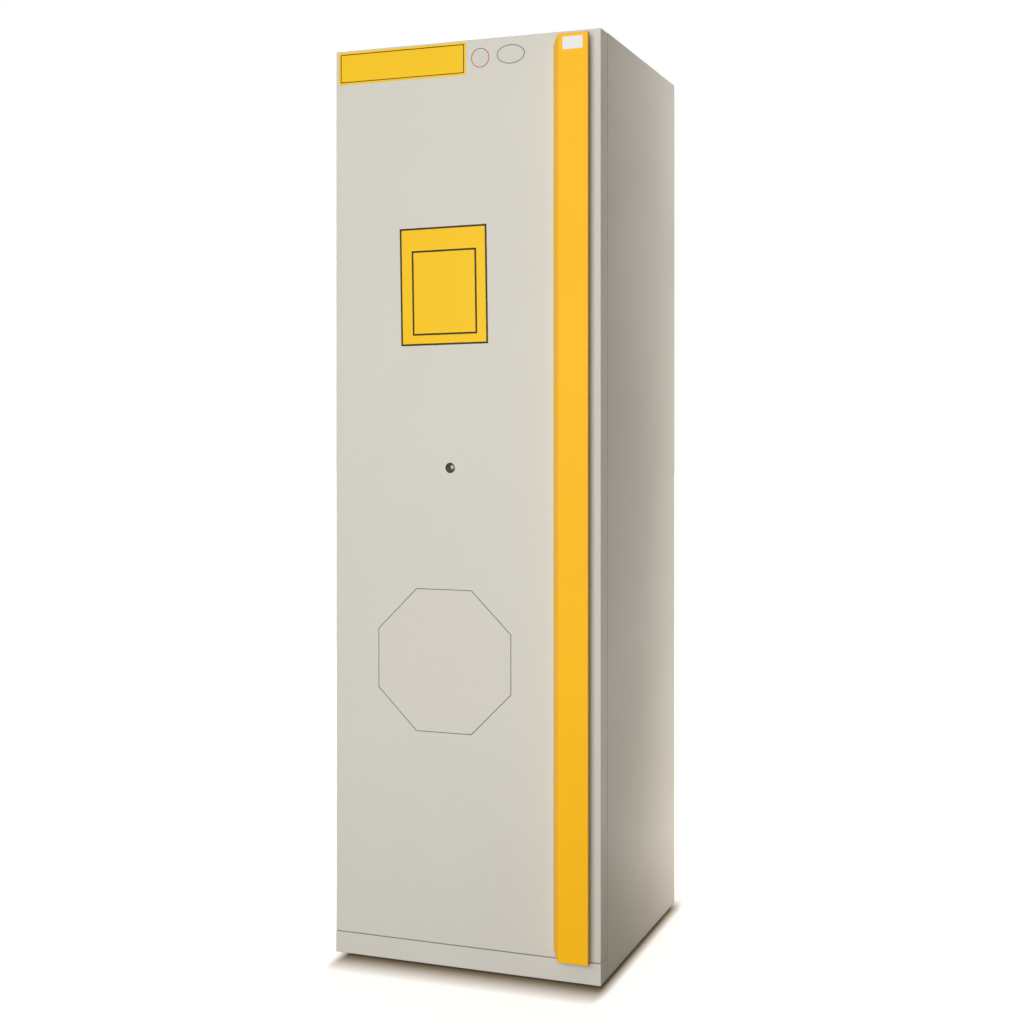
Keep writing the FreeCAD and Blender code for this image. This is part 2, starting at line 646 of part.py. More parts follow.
walls = (("left", inside_left, "+"), ("right", inside_right, "-"))
keep(group("shelf_uprights", *[upright(f"upright_{name}_{number}", wall, way, row)
                               for name, wall, way in walls
                               for number, row in enumerate(upright_rows, start=1)]))


def shelf_level(number):
    """Height of the underside of a tray shelf."""
    return f"({inside_bottom} + slot_pitch * (shelf_first_count + {number} * shelf_step_count))"


def shelf_clip(label, wall, way, row, level):
    """A bent clip: its tongue hooks in a slot and its ledge carries a tray."""
    def span(start, end):
        near, far = f"{wall} {way} ({start})", f"{wall} {way} ({end})"
        return (near, far) if way == "+" else (far, near)
    middle = f"({row} + upright_width / 2)"
    y = (f"{middle} - clip_width / 2", f"{middle} + clip_width / 2")
    ledge_x = span("upright_thick", "upright_thick + clip_reach")
    leg_x = span("upright_thick", "upright_thick + clip_thick")
    tongue_x = span("upright_thick - clip_hook", "upright_thick")
    ledge = block(label + "_ledge", (ledge_x[0], y[0], f"{level} - clip_thick"), (ledge_x[1], y[1], level))
    leg = block(label + "_leg", (leg_x[0], y[0], f"{level} - clip_leg"),
                (leg_x[1], y[1], f"{level} - clip_thick"))
    tongue = block(label + "_tongue",
                   (tongue_x[0], f"{middle} - slot_width / 2 + play", f"{level} - slot_tall + play"),
                   (tongue_x[1], f"{middle} + slot_width / 2 - play", f"{level} - play"))
    return joined(label, ledge, leg, tongue)


shelf_names = ("tray_shelf_lower", "tray_shelf_middle", "tray_shelf_upper")
clips = []
for number in range(int(size("shelf_count"))):
    level = shelf_level(number)
    name = shelf_names[number] if number < len(shelf_names) else f"tray_shelf_{number + 1}"
    keep(tray(name, (tray_left, tray_front, level), (tray_right, tray_rear, f"{level} + shelf_rim"),
              "shelf_sheet", "shelf_corner", "shelf_hem"))
    clips += [shelf_clip(f"clip_{side}_{number}_{place}", wall, way, row, level)
              for side, wall, way in walls for place, row in enumerate(upright_rows)]
keep(group("shelf_clips", *clips))

sump_top = f"({inside_bottom} + sump_height)"
keep(tray("bottom_sump", (tray_left, tray_front, inside_bottom), (tray_right, tray_rear, sump_top),
          "shelf_sheet", "shelf_corner", "shelf_hem"))

rest = "shelf_hem + play"
grid_points = [
    (tray_front, sump_top), (f"{tray_front} + {rest}", sump_top),
    (f"{tray_front} + {rest}", f"{sump_top} - grid_flange"),
    (f"{tray_front} + {rest} + grid_thick", f"{sump_top} - grid_flange"),
    (f"{tray_front} + {rest} + grid_thick", sump_top), (f"{tray_rear} - ({rest}) - grid_thick", sump_top),
    (f"{tray_rear} - ({rest}) - grid_thick", f"{sump_top} - grid_flange"),
    (f"{tray_rear} - ({rest})", f"{sump_top} - grid_flange"), (f"{tray_rear} - ({rest})", sump_top),
    (tray_rear, sump_top), (tray_rear, f"{sump_top} + grid_thick"), (tray_front, f"{sump_top} + grid_thick"),
]
grid_sheet = profile("grid_sheet", "YZ_Plane", grid_points, f"{tray_left} + shelf_corner",
                     f"{tray_right} - shelf_corner")
grid_room_x = f"({tray_right} - {tray_left} - 2 * shelf_corner - grid_bar)"
grid_room_y = f"({tray_rear} - {tray_front} - 2 * grid_bar)"
slots = []
for row in range(int(size("grid_rows"))):
    for column in range(int(size("grid_columns"))):
        start = f"{tray_left} + shelf_corner + grid_bar + {grid_room_x} * {column} / grid_columns"
        middle = f"{tray_front} + grid_bar + {grid_room_y} * ({row} + 0.5) / grid_rows"
        slots.append(block(f"grid_slot_{row}_{column}",
                           (start, f"{middle} - grid_slot / 2", f"{sump_top} - overshoot"),
                           (f"{start} + {grid_room_x} / grid_columns - grid_bar",
                            f"{middle} + grid_slot / 2", f"{sump_top} + grid_thick + overshoot")))
keep(cut("sump_grid", grid_sheet, *slots))

duct_face = f"({inside_rear} - duct_deep)"
duct_low = f"({inside_bottom} + duct_start)"
duct_high = f"({inside_top} - duct_end)"
half = "duct_wide / 2"
duct_points = [
    (f"-{half} - duct_flange", inside_rear), (f"-{half} - duct_flange", f"{inside_rear} - duct_sheet"),
    (f"-{half}", f"{inside_rear} - duct_sheet"), (f"-{half}", duct_face), (half, duct_face),
    (half, f"{inside_rear} - duct_sheet"), (f"{half} + duct_flange", f"{inside_rear} - duct_sheet"),
    (f"{half} + duct_flange", inside_rear), (f"{half} - duct_sheet", inside_rear),
    (f"{half} - duct_sheet", f"{duct_face} + duct_sheet"),
    (f"-{half} + duct_sheet", f"{duct_face} + duct_sheet"),
    (f"-{half} + duct_sheet", inside_rear),
]
windows = []
for number in range(int(size("duct_windows"))):
    level = f"({duct_low} + ({duct_high} - {duct_low}) * ({number} + 0.5) / duct_windows)"
    windows.append(block(f"duct_window_{number + 1}",
                         ("-duct_window_wide / 2", f"{duct_face} - overshoot", f"{level} - duct_window / 2"),
                         ("duct_window_wide / 2", f"{duct_face} + duct_sheet + overshoot",
                          f"{level} + duct_window / 2")))
keep(cut("air_duct", profile("duct_channel", "XY_Plane", duct_points, duct_low, duct_high), *windows))

grille_slots = []
for number in range(int(size("grille_slots"))):
    middle = f"{spigot_y} - grille_side / 2 + grille_side * ({number} + 0.5) / grille_slots"
    grille_slots.append(block(f"grille_slot_{number + 1}",
                              ("-grille_slot_long / 2", f"{middle} - grille_slot / 2",
                               f"{inside_top} - grille_thick - overshoot"),
                              ("grille_slot_long / 2", f"{middle} + grille_slot / 2",
                               f"{inside_top} + overshoot")))
keep(cut("exhaust_grille",
         block("grille_plate",
               ("-grille_side / 2", f"{spigot_y} - grille_side / 2", f"{inside_top} - grille_thick"),
               ("grille_side / 2", f"{spigot_y} + grille_side / 2", inside_top)), *grille_slots))

# ---------------------------------------------------------------- hinge
bush_bore = "(pin_radius + running_gap)"
bush_outside = f"({bush_bore} + bush_wall)"


def hinge_arm(label, low, inset):
    """The rounded arm that reaches from the casing over the pivot, set in from the cabinet's side."""
    arm = block(label + "_arm", (f"{left} + {inset}", pivot_y, low),
                (f"{left} + 2 * pivot_side - {inset}", casing_front, f"{low} + hinge_plate"))
    nose = cylinder(label + "_nose", (pivot_x, pivot_y, low), "hinge_plate", f"pivot_side - {inset}")
    return arm, nose


def pivot_hole(label, low, high, radius):
    """A round tool on the pivot."""
    return upright_hole(label, pivot_x, pivot_y, low, high, radius)


top_level = "cabinet_height"
hold = block("hinge_top_hold", (left, casing_front, top_level),
             (f"{left} + hinge_plate_width", f"{casing_front} + hinge_plate_hold",
              f"{top_level} + hinge_plate"))
keep(cut("hinge_plate_top", joined("hinge_top_plate", hold, *hinge_arm("hinge_top", top_level, "0")),
         pivot_hole("hinge_top_hole", f"{top_level} - overshoot", f"{top_level} + hinge_plate + overshoot",
                    bush_bore)))
flange = block("hinge_low_flange",
               (left, f"{casing_front} - hinge_plate", f"{hinge_low_level} + hinge_plate - hinge_flange_drop"),
               (f"{left} + hinge_flange_wide", casing_front, f"{hinge_low_level} + hinge_plate"))
keep(cut("hinge_bracket_bottom", joined("hinge_low_plate", flange,
                                        *hinge_arm("hinge_low", hinge_low_level, "(skin_sheet + play)")),
         pivot_hole("hinge_low_hole", f"{hinge_low_level} - overshoot",
                    f"{hinge_low_level} + hinge_plate + overshoot", bush_bore)))

head = cylinder("pin_top_head", (pivot_x, pivot_y, f"{top_level} + hinge_plate"), "pin_head",
                "pin_head_radius")
shank = cylinder("pin_top_shank", (pivot_x, pivot_y, f"{door_top} - pin_reach"),
                 f"{top_level} + hinge_plate - ({door_top} - pin_reach)", "pin_radius")
keep(joined("hinge_pin_top", head, shank))
head = cylinder("pin_low_head", (pivot_x, pivot_y, f"{hinge_low_level} - pin_head"), "pin_head",
                "pin_head_radius")
shank = cylinder("pin_low_shank", (pivot_x, pivot_y, hinge_low_level),
                 f"{door_bottom} + pin_reach - {hinge_low_level}", "pin_radius")
keep(joined("hinge_pin_bottom", head, shank))
keep(cut("thrust_washer",
         cylinder("washer_disc", (pivot_x, pivot_y, f"{hinge_low_level} + hinge_plate"), "door_low_gap",
                  "pin_head_radius"),
         pivot_hole("washer_hole", hinge_low_level, f"{door_bottom} + overshoot", bush_bore)))

# ---------------------------------------------------------------- door
door_low = (left, door_bottom)
door_high = (right, door_top)
core_front = f"({door_front} + door_sheet + play)"
core_back = f"({door_back} - door_sheet - play)"


def lock_hole(label, low, high, radius):
    """A round tool on the lock's axis, front to back."""
    return cylinder(label, (lock_x, low, "lock_up"), f"({high}) - ({low})", radius, "y")


skin = doc.addObject("PartDesign::Body", "door_skin_body")
skin_sketch = outline(skin, "door_skin_front", "XZ_Plane", rectangle(door_low, door_high), f"-{door_back}")
skin_block = pad(skin, "door_skin_depth", skin_sketch, "door_thick")
front_y = skin_block.Shape.BoundBox.YMin
skin_round = rounded(skin, "door_skin_bends", skin_block, lambda box: box.YMax < front_y + level_play,
                     "door_edge_radius")
back_y = skin_round.Shape.BoundBox.YMax
shelled(skin, "door_skin_sheet", skin_round, lambda box: box.YMin > back_y - level_play, "door_sheet")
skin_return = ring("door_return_frame", door_low, door_high, "door_sheet", "door_return",
                   f"{door_back} - door_sheet", door_back)
keep(cut("door_skin", joined("door_skin_folded", skin, skin_return),
         lock_hole("door_skin_lock", f"{door_front} - overshoot", f"{door_front} + door_sheet + overshoot",
                   "barrel_radius + play"),
         pivot_hole("door_skin_pivots", f"{door_bottom} - overshoot", f"{door_top} + overshoot",
                    f"{bush_outside} + play")))

block_x = (f"({left} + door_sheet + play)", f"({left} + door_sheet + play + block_side)")
block_levels = {
    "low": (f"({door_bottom} + door_sheet + play)", f"({door_bottom} + door_sheet + play + block_tall)"),
    "top": (f"({door_top} - door_sheet - play - block_tall)", f"({door_top} - door_sheet - play)"),
}
spring_room = "(spring_radius + spring_wire + play)"
spring_tall = "(spring_turns * spring_pitch)"
spring_top = f"({block_levels['top'][1]} - spring_wire - play)"
bush_reach = {
    "low": (door_bottom, f"({door_bottom} + pin_reach)"),
    "top": (f"({door_top} - pin_reach)", door_top),
}
blocks = []
bushes = []
for name, (low, high) in block_levels.items():
    body = block(f"hinge_block_{name}_blank", (block_x[0], core_front, low), (block_x[1], core_back, high))
    holes = [pivot_hole(f"hinge_block_{name}_bore", f"{low} - overshoot", f"{high} + overshoot",
                        f"{bush_outside} + running_gap")]
    if name == "top":
        holes.append(pivot_hole("hinge_block_spring_room",
                                f"{spring_top} - {spring_tall} - spring_wire - play",
                                f"{high} + overshoot", spring_room))
    blocks.append(cut(f"hinge_block_{name}", body, *holes))
    reach = bush_reach[name]
    shell = upright_hole(f"hinge_bush_{name}_tube", pivot_x, pivot_y, *reach, bush_outside)
    bushes.append(cut(f"hinge_bush_{name}", shell,
                      pivot_hole(f"hinge_bush_{name}_bore", f"{reach[0]} - overshoot",
                                 f"{reach[1]} + overshoot", bush_bore)))
keep(group("hinge_blocks", *blocks))
keep(group("hinge_bushes", *bushes))


def closing_spring():
    """A coil round the upper bush that turns the door shut."""
    doc.recompute()
    bush = next(item for item in bushes if item.Label == "hinge_bush_top")
    middle = bush.Shape.BoundBox.Center
    coil_radius, pitch = size("spring_radius"), size("spring_pitch")
    coil = Part.makeHelix(pitch, pitch * size("spring_turns"), coil_radius)
    wire = Part.makeCircle(size("spring_wire"), FreeCAD.Vector(coil_radius, 0, 0), FreeCAD.Vector(0, 1, 0))
    piece = doc.addObject("Part::Feature", "closing_spring")
    piece.Shape = Part.Wire(coil).makePipeShell([Part.Wire(wire)], True, True)
    bottom = (size("cabinet_height") - size("door_top_gap") - size("door_sheet") - size("spring_wire")
              - 2 * size("play") - pitch * size("spring_turns"))
    piece.Placement = FreeCAD.Placement(FreeCAD.Vector(middle.x, middle.y, bottom), FreeCAD.Rotation())
    return piece


keep(closing_spring())

core = block("door_core_board",
             (f"{left} + door_sheet + play", core_front, f"{door_bottom} + door_sheet + play"),
             (f"{right} - door_sheet - play", core_back, f"{door_top} - door_sheet - play"))
pockets = [block(f"door_core_pocket_{name}",
                 (f"{left} + door_sheet", f"{core_front} - overshoot", f"{low} - play - overshoot"),
                 (f"{block_x[1]} + play", f"{core_back} + overshoot", f"{high} + play + overshoot"))
           for name, (low, high) in block_levels.items()]
keep(cut("door_core", core, *pockets,
         lock_hole("door_core_lock", f"{core_front} - overshoot", f"{core_back} + overshoot",
                   "barrel_radius + play")))

plate_inset = "door_sheet + door_return + play"
plate = block("door_plate_sheet",
              (f"{left} + {plate_inset}", f"{door_back} - plug_sheet", f"{door_bottom} + {plate_inset}"),
              (f"{right} - ({plate_inset})", door_back, f"{door_top} - ({plate_inset})"))
keep(cut("door_back_plate", plate,
         lock_hole("door_plate_lock", f"{door_back} - plug_sheet - overshoot", f"{door_back} + overshoot",
                   "barrel_radius + play")))

panel = doc.addObject("PartDesign::Body", "inner_panel_body")
panel_sketch = outline(panel, "inner_panel_front", "XZ_Plane",
                       rectangle((plug_left, plug_bottom), (plug_right, plug_top)), f"-{plug_back}")
panel_block = pad(panel, "inner_panel_depth", panel_sketch, "plug_depth")
back_y = panel_block.Shape.BoundBox.YMax
panel_round = rounded(panel, "inner_panel_bends", panel_block, lambda box: box.YMin > back_y - level_play,
                      "plug_radius")
front_y = panel_round.Shape.BoundBox.YMin
shelled(panel, "inner_panel_sheet", panel_round, lambda box: box.YMax < front_y + level_play, "plug_sheet")
keep(cut("inner_panel", panel,
         upright_hole("inner_panel_upper_hole", upper_rod_x, rod_y, f"{plug_top} - plug_sheet - overshoot",
                      f"{plug_top} + overshoot", "rod_radius + play"),
         upright_hole("inner_panel_lower_hole", lower_rod_x, rod_y, f"{plug_bottom} - overshoot",
                      f"{plug_bottom} + plug_sheet + overshoot", "rod_radius + play")))

keep(ring("fire_seal", door_low, door_high, "fire_seal_inset", "fire_seal_width", door_back,
          f"{door_back} + fire_seal_thick"))
keep(ring("smoke_seal", door_low, door_high, "smoke_seal_inset", "smoke_seal_width", door_back,
          f"{door_back} + door_gap - play"))

# ---------------------------------------------------------------- handle
grip_right = f"({right} - handle_side_inset)"
grip_left = f"({grip_right} - handle_face)"
flange_left = f"({grip_left} - handle_slope)"
grip_front = f"({door_front} - handle_proud)"
slant = "(handle_sheet * sqrt(handle_slope ^ 2 + handle_proud ^ 2) / handle_proud)"
creep = "(handle_slope * handle_sheet / handle_proud)"
foot_right = f"({flange_left} + {creep} + {slant} + handle_foot)"
handle_low = f"({door_bottom} + handle_low_inset)"
handle_high = f"({door_top} - handle_top_inset)"
handle_points = [
    (flange_left, door_front), (grip_left, grip_front), (grip_right, grip_front),
    (grip_right, f"{grip_front} + handle_lip"), (f"{grip_right} - handle_sheet", f"{grip_front} + handle_lip"),
    (f"{grip_right} - handle_sheet", f"{grip_front} + handle_sheet"),
    (f"{grip_left} - {creep} + {slant}", f"{grip_front} + handle_sheet"),
    (f"{flange_left} + {creep} + {slant}", f"{door_front} - handle_sheet"),
    (foot_right, f"{door_front} - handle_sheet"), (foot_right, door_front),
]
handle_bar = profile("handle_bar", "XY_Plane", handle_points, handle_low, handle_high)


def handle_corner(label, end, way):
    """The corner taken off the sloping flange at one end of the handle."""
    past = f"{end} - {way} * overshoot"
    points = [(f"{flange_left} - overshoot", past), (f"{grip_left} - overshoot", past),
              (f"{flange_left} - overshoot", f"{end} + {way} * handle_cut")]
    return profile(label, "XZ_Plane", points, f"{grip_front} - overshoot", f"{door_front} + overshoot")


keep(cut("handle_profile", handle_bar, handle_corner("handle_corner_low", handle_low, "1"),
         handle_corner("handle_corner_high", handle_high, "(-1)")))
rivet_step = f"(({handle_high} - {handle_low} - 4 * handle_cut) / (rivet_count - 1))"
keep(group("handle_rivets", *[
    cylinder(f"handle_rivet_{number + 1}",
             (f"{foot_right} - handle_foot / 2", f"{door_front} - handle_sheet - rivet_head",
              f"{handle_low} + 2 * handle_cut + {number} * {rivet_step}"), "rivet_head", "rivet_radius", "y")
    for number in range(int(size("rivet_count")))]))

# ---------------------------------------------------------------- lock
gear_front = f"({rod_y} - gear_thick / 2)"
gear_back = f"({rod_y} + gear_thick / 2)"
case_face = f"({gear_back} + case_gap)"
rose_front = f"({door_front} - lock_rose_proud)"
dome_radius = "((lock_rose_radius ^ 2 + lock_rose_proud ^ 2) / (2 * lock_rose_proud))"


def domed(label, back_step, radius):
    """A disc on the lock's axis whose front is part of a shallow dome."""
    disc = cylinder(label + "_disc", (lock_x, f"{rose_front} + {back_step}", "lock_up"), "lock_rose_proud",
                    radius, "y")
    ball = doc.addObject("Part::Sphere", label + "_ball")
    bind(ball, "Radius", dome_radius)
    for rule, letter in zip((lock_x, f"{rose_front} + {back_step} + {dome_radius}", "lock_up"), "xyz"):
        bind(ball, f"Placement.Base.{letter}", rule)
    piece = doc.addObject("Part::Common", label)
    piece.Base = disc
    piece.Tool = ball
    return piece


tube = cylinder("lock_tube", (lock_x, door_front, "lock_up"), "door_thick", "barrel_radius", "y")
keep(cut("lock_barrel", joined("lock_barrel_solid", domed("lock_rose", "0", "lock_rose_radius"), tube),
         lock_hole("lock_barrel_bore", f"{rose_front} - overshoot", f"{door_back} + overshoot",
                   "key_plug_radius + running_gap")))
plug_face = domed("key_plug_face", "play", "key_plug_radius")
plug = cylinder("key_plug_round", (lock_x, f"{door_front} + play", "lock_up"), "door_thick - play",
                "key_plug_radius", "y")
shaft = cylinder("key_plug_shaft", (lock_x, door_back, "lock_up"), f"{case_face} + case_sheet - {door_back}",
                 "shaft_radius", "y")
key_slot = block("key_slot",
                 (f"{lock_x} - key_slot_width / 2", f"{rose_front} - overshoot", "lock_up - key_slot_long / 2"),
                 (f"{lock_x} + key_slot_width / 2", f"{rose_front} + key_slot_deep",
                  "lock_up + key_slot_long / 2"))
keep(cut("key_plug", joined("key_plug_solid", plug_face, plug, shaft), key_slot))


flank_steps = 4


def pinion():
    """A gear with involute flanks, one tooth pointing along +X."""
    doc.recompute()
    module, count = size("tooth_module"), int(size("tooth_count"))
    pitch = module * count / 2
    base = pitch * math.cos(math.radians(size("pressure_angle")))
    tip, root = pitch + module, pitch - size("tooth_root")

    def spread(radius):
        """How far an involute has turned when it reaches a radius."""
        angle = math.acos(min(1, base / radius))
        return math.tan(angle) - angle

    half_pitch = math.pi / (2 * count) - size("tooth_play") / pitch
    start = max(base, root)
    steps = [start + (tip - start) * number / flank_steps for number in range(flank_steps + 1)]
    flank = [(radius, half_pitch + spread(pitch) - spread(radius)) for radius in steps]
    if root < base:
        flank.insert(0, (root, flank[0][1]))
    corners = []
    for tooth in range(count):
        middle = math.tau * tooth / count
        corners += [(radius, middle - angle) for radius, angle in flank]
        corners += [(radius, middle + angle) for radius, angle in reversed(flank)]
    points = [FreeCAD.Vector(radius * math.cos(angle), 0, radius * math.sin(angle))
              for radius, angle in corners]
    thick = size("gear_thick")
    blank = Part.Face(Part.makePolygon(points + points[:1])).extrude(FreeCAD.Vector(0, thick, 0))
    bore = Part.makeCylinder(size("shaft_radius") + size("running_gap"), thick, FreeCAD.Vector(),
                             FreeCAD.Vector(0, 1, 0))
    piece = doc.addObject("Part::Feature", "lock_pinion")
    piece.Shape = blank.cut(bore)
    door_y = (size("handle_proud") - size("cabinet_depth")) / 2 + size("door_thick")
    front = door_y + size("plug_sheet") + size("rod_stand") - thick / 2
    piece.Placement = FreeCAD.Placement(FreeCAD.Vector(size("lock_across"), front, size("lock_up")),
                                        FreeCAD.Rotation())
    return piece


keep(pinion())
tooth_pitch = "(tooth_module * pi)"


def rack_rod(label, way, side):
    """A lock rod: a toothed bar beside the pinion and a round rod to the end of the inner panel.

    side is where the rack stands from the pinion, way is where its rod points.
    """
    def across(rule):
        return f"{lock_x} {side} ({rule})"
    half = f"(rack_teeth * {tooth_pitch} / 2)"
    ends = (f"lock_up - {half}", f"lock_up + {half}")
    bar = profile(label + "_bar", "XZ_Plane",
                  rectangle((across(f"{pitch_radius} + tooth_root"), ends[0]),
                            (across(f"{pitch_radius} + rack_height"), ends[1])), gear_front, gear_back)
    lean = "tan(pressure_angle)"
    middle = f"(lock_up - {half} + {tooth_pitch} / 2)"
    crest = f"({tooth_pitch} / 4 - rack_addendum * {lean})"
    foot = f"({tooth_pitch} / 4 + tooth_root * {lean})"
    tooth_points = [
        (across(f"{pitch_radius} + tooth_root"), f"{middle} - {foot}"),
        (across(f"{pitch_radius} - rack_addendum"), f"{middle} - {crest}"),
        (across(f"{pitch_radius} - rack_addendum"), f"{middle} + {crest}"),
        (across(f"{pitch_radius} + tooth_root"), f"{middle} + {foot}"),
    ]
    sketch = outline(bar, label + "_tooth", "XZ_Plane", tooth_points, f"-{gear_back}")
    tooth = pad(bar, label + "_first_tooth", sketch, "gear_thick")
    pattern = bar.newObject("PartDesign::LinearPattern", label + "_teeth")
    pattern.Originals = [tooth]
    pattern.Direction = (sketch, ["V_Axis"])
    bind(pattern, "Length", f"(rack_teeth - 1) * {tooth_pitch}")
    bind(pattern, "Occurrences", "rack_teeth")
    bar.Tip = pattern
    x = across(rack_shift)
    if way == "+":
        start, end = f"(lock_up + {half} - rod_radius)", f"({plug_top} - rod_rest)"
    else:
        start, end = f"({plug_bottom} + rod_rest)", f"(lock_up - {half} + rod_radius)"
    rod = cylinder(label + "_round", (x, rod_y, start), f"{end} - {start}", "rod_radius")
    return joined(label, bar, rod)


keep(rack_rod("upper_rod", "+", "-"))
keep(rack_rod("lower_rod", "-", "+"))

wing = f"({pitch_radius} + rack_height + case_gap)"
case_points = [
    (f"{lock_x} - {wing} - case_sheet", door_back), (f"{lock_x} - {wing}", door_back),
    (f"{lock_x} - {wing}", case_face), (f"{lock_x} + {wing}", case_face), (f"{lock_x} + {wing}", door_back),
    (f"{lock_x} + {wing} + case_sheet", door_back),
    (f"{lock_x} + {wing} + case_sheet", f"{case_face} + case_sheet"),
    (f"{lock_x} - {wing} - case_sheet", f"{case_face} + case_sheet"),
]
keep(cut("lock_case", profile("lock_case_channel", "XY_Plane", case_points, "lock_up - case_tall / 2",
                              "lock_up + case_tall / 2"),
         lock_hole("lock_case_bearing", f"{case_face} - overshoot", f"{case_face} + case_sheet + overshoot",
                   "shaft_radius + running_gap")))

guides = []
guide_places = (
    (upper_rod_x, f"{plug_top} - guide_far"), (upper_rod_x, "lock_up + guide_near"),
    (lower_rod_x, "lock_up - guide_near"), (lower_rod_x, f"{plug_bottom} + guide_far"),
)
for number, (x, level) in enumerate(guide_places, start=1):
    reach = "(rod_radius + guide_wall)"
    solid = block(f"rod_guide_{number}_solid", (f"{x} - {reach}", door_back, f"{level} - guide_tall / 2"),
                  (f"{x} + {reach}", f"{rod_y} + {reach}", f"{level} + guide_tall / 2"))
    bore = upright_hole(f"rod_guide_{number}_bore", x, rod_y, f"{level} - guide_tall", f"{level} + guide_tall",
                        "rod_radius + running_gap")
    guides.append(cut(f"rod_guide_{number}", solid, bore))
keep(group("rod_guides", *guides))

# ---------------------------------------------------------------- check and write
doc.recompute()
faults = [item.Label for item in doc.Objects if "Invalid" in item.State or "Error" in item.State]
for piece in nodes:
    if piece.Shape.isNull() or not piece.Shape.isValid() or not piece.Shape.Solids:
        faults.append(piece.Label)
if faults:
    raise RuntimeError("failed pieces: " + ", ".join(sorted(set(faults))))
os.makedirs("parts", exist_ok=True)
for piece in nodes:
    piece.Shape.exportStep(os.path.join("parts", piece.Label + ".step"))
print(len(nodes), "sub-parts written")
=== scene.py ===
import math

import bmesh
import bpy
from mathutils import Matrix, Vector


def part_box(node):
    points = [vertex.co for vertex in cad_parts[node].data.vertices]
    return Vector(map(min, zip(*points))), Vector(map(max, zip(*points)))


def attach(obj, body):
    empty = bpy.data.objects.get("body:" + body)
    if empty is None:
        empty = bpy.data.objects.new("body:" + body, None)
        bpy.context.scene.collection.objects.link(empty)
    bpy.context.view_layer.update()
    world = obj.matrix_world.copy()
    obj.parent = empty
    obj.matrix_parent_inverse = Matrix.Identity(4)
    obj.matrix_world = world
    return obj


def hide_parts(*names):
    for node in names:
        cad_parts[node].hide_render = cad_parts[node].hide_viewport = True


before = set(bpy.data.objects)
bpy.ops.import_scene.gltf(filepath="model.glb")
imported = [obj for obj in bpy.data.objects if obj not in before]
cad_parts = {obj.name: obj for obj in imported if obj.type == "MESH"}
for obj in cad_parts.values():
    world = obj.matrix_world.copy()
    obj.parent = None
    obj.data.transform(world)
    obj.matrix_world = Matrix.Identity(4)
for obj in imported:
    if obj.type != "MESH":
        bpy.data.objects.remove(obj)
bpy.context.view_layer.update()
doorLow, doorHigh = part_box("door_skin")
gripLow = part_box("handle_profile")[0]


def newGroup(name, inputs, outputs):
    group = bpy.data.node_groups.new(name, "ShaderNodeTree")
    for label, kind, value in inputs:
        socket = group.interface.new_socket(label, in_out="INPUT", socket_type=kind)
        socket.default_value = value
    for label, kind in outputs:
        group.interface.new_socket(label, in_out="OUTPUT", socket_type=kind)
    tree = group.nodes
    return group, tree.new("NodeGroupInput"), tree.new("NodeGroupOutput")


def mathNode(tree, links, operation, first, second=None, clamp=False):
    node = tree.new("ShaderNodeMath")
    node.operation = operation
    node.use_clamp = clamp
    for socket, value in zip(node.inputs, (first, second)):
        if value is None:
            continue
        if isinstance(value, (int, float)):
            socket.default_value = value
        else:
            links.new(value, socket)
    return node.outputs[0]


def noiseNode(tree, links, vector, scale, detail, roughness=0.55):
    node = tree.new("ShaderNodeTexNoise")
    node.inputs["Detail"].default_value = detail
    node.inputs["Roughness"].default_value = roughness
    links.new(vector, node.inputs["Vector"])
    if isinstance(scale, (int, float)):
        node.inputs["Scale"].default_value = scale
    else:
        links.new(scale, node.inputs["Scale"])
    return node.outputs["Fac"]


def rangeNode(tree, links, value, low, high, start=0.0, end=1.0):
    node = tree.new("ShaderNodeMapRange")
    links.new(value, node.inputs["Value"])
    for label, number in (("From Min", low), ("From Max", high), ("To Min", start), ("To Max", end)):
        if isinstance(number, (int, float)):
            node.inputs[label].default_value = number
        else:
            links.new(number, node.inputs[label])
    return node.outputs["Result"]


# sockets 6 and 7 of a Mix node are its two colours, and output 2 is the blend
def blendNode(tree, links, factor, first, second):
    node = tree.new("ShaderNodeMix")
    node.data_type = "RGBA"
    for socket, value in zip((node.inputs[0], node.inputs[6], node.inputs[7]), (factor, first, second)):
        if isinstance(value, (tuple, list)):
            socket.default_value = (*value, 1.0)
        elif isinstance(value, (int, float)):
            socket.default_value = value
        else:
            links.new(value, socket)
    return node.outputs[2]


def objectCoords(tree):
    return tree.new("ShaderNodeTexCoord").outputs["Object"]


def stretched(tree, links, vector, scale):
    node = tree.new("ShaderNodeMapping")
    node.inputs["Scale"].default_value = scale
    links.new(vector, node.inputs["Vector"])
    return node.outputs["Vector"]


def coatPeelGroup():
    # the fine pebbling that powder coat leaves, on top of a slow waviness of the sheet
    group, start, end = newGroup(
        "coatPeel", [("Peel", "NodeSocketFloat", 900.0), ("Wave", "NodeSocketFloat", 6.0)],
        [("Height", "NodeSocketFloat"), ("Mottle", "NodeSocketFloat")])
    tree, links = group.nodes, group.links
    coords = objectCoords(tree)
    fine = noiseNode(tree, links, coords, start.outputs["Peel"], 2.0, 0.5)
    slow = noiseNode(tree, links, coords, start.outputs["Wave"], 2.0, 0.5)
    height = mathNode(tree, links, "ADD", mathNode(tree, links, "MULTIPLY", fine, 0.35), slow)
    links.new(height, end.inputs["Height"])
    blotch = noiseNode(tree, links, coords, 2.3, 4.0, 0.6)
    links.new(rangeNode(tree, links, blotch, 0.3, 0.7), end.inputs["Mottle"])
    return group


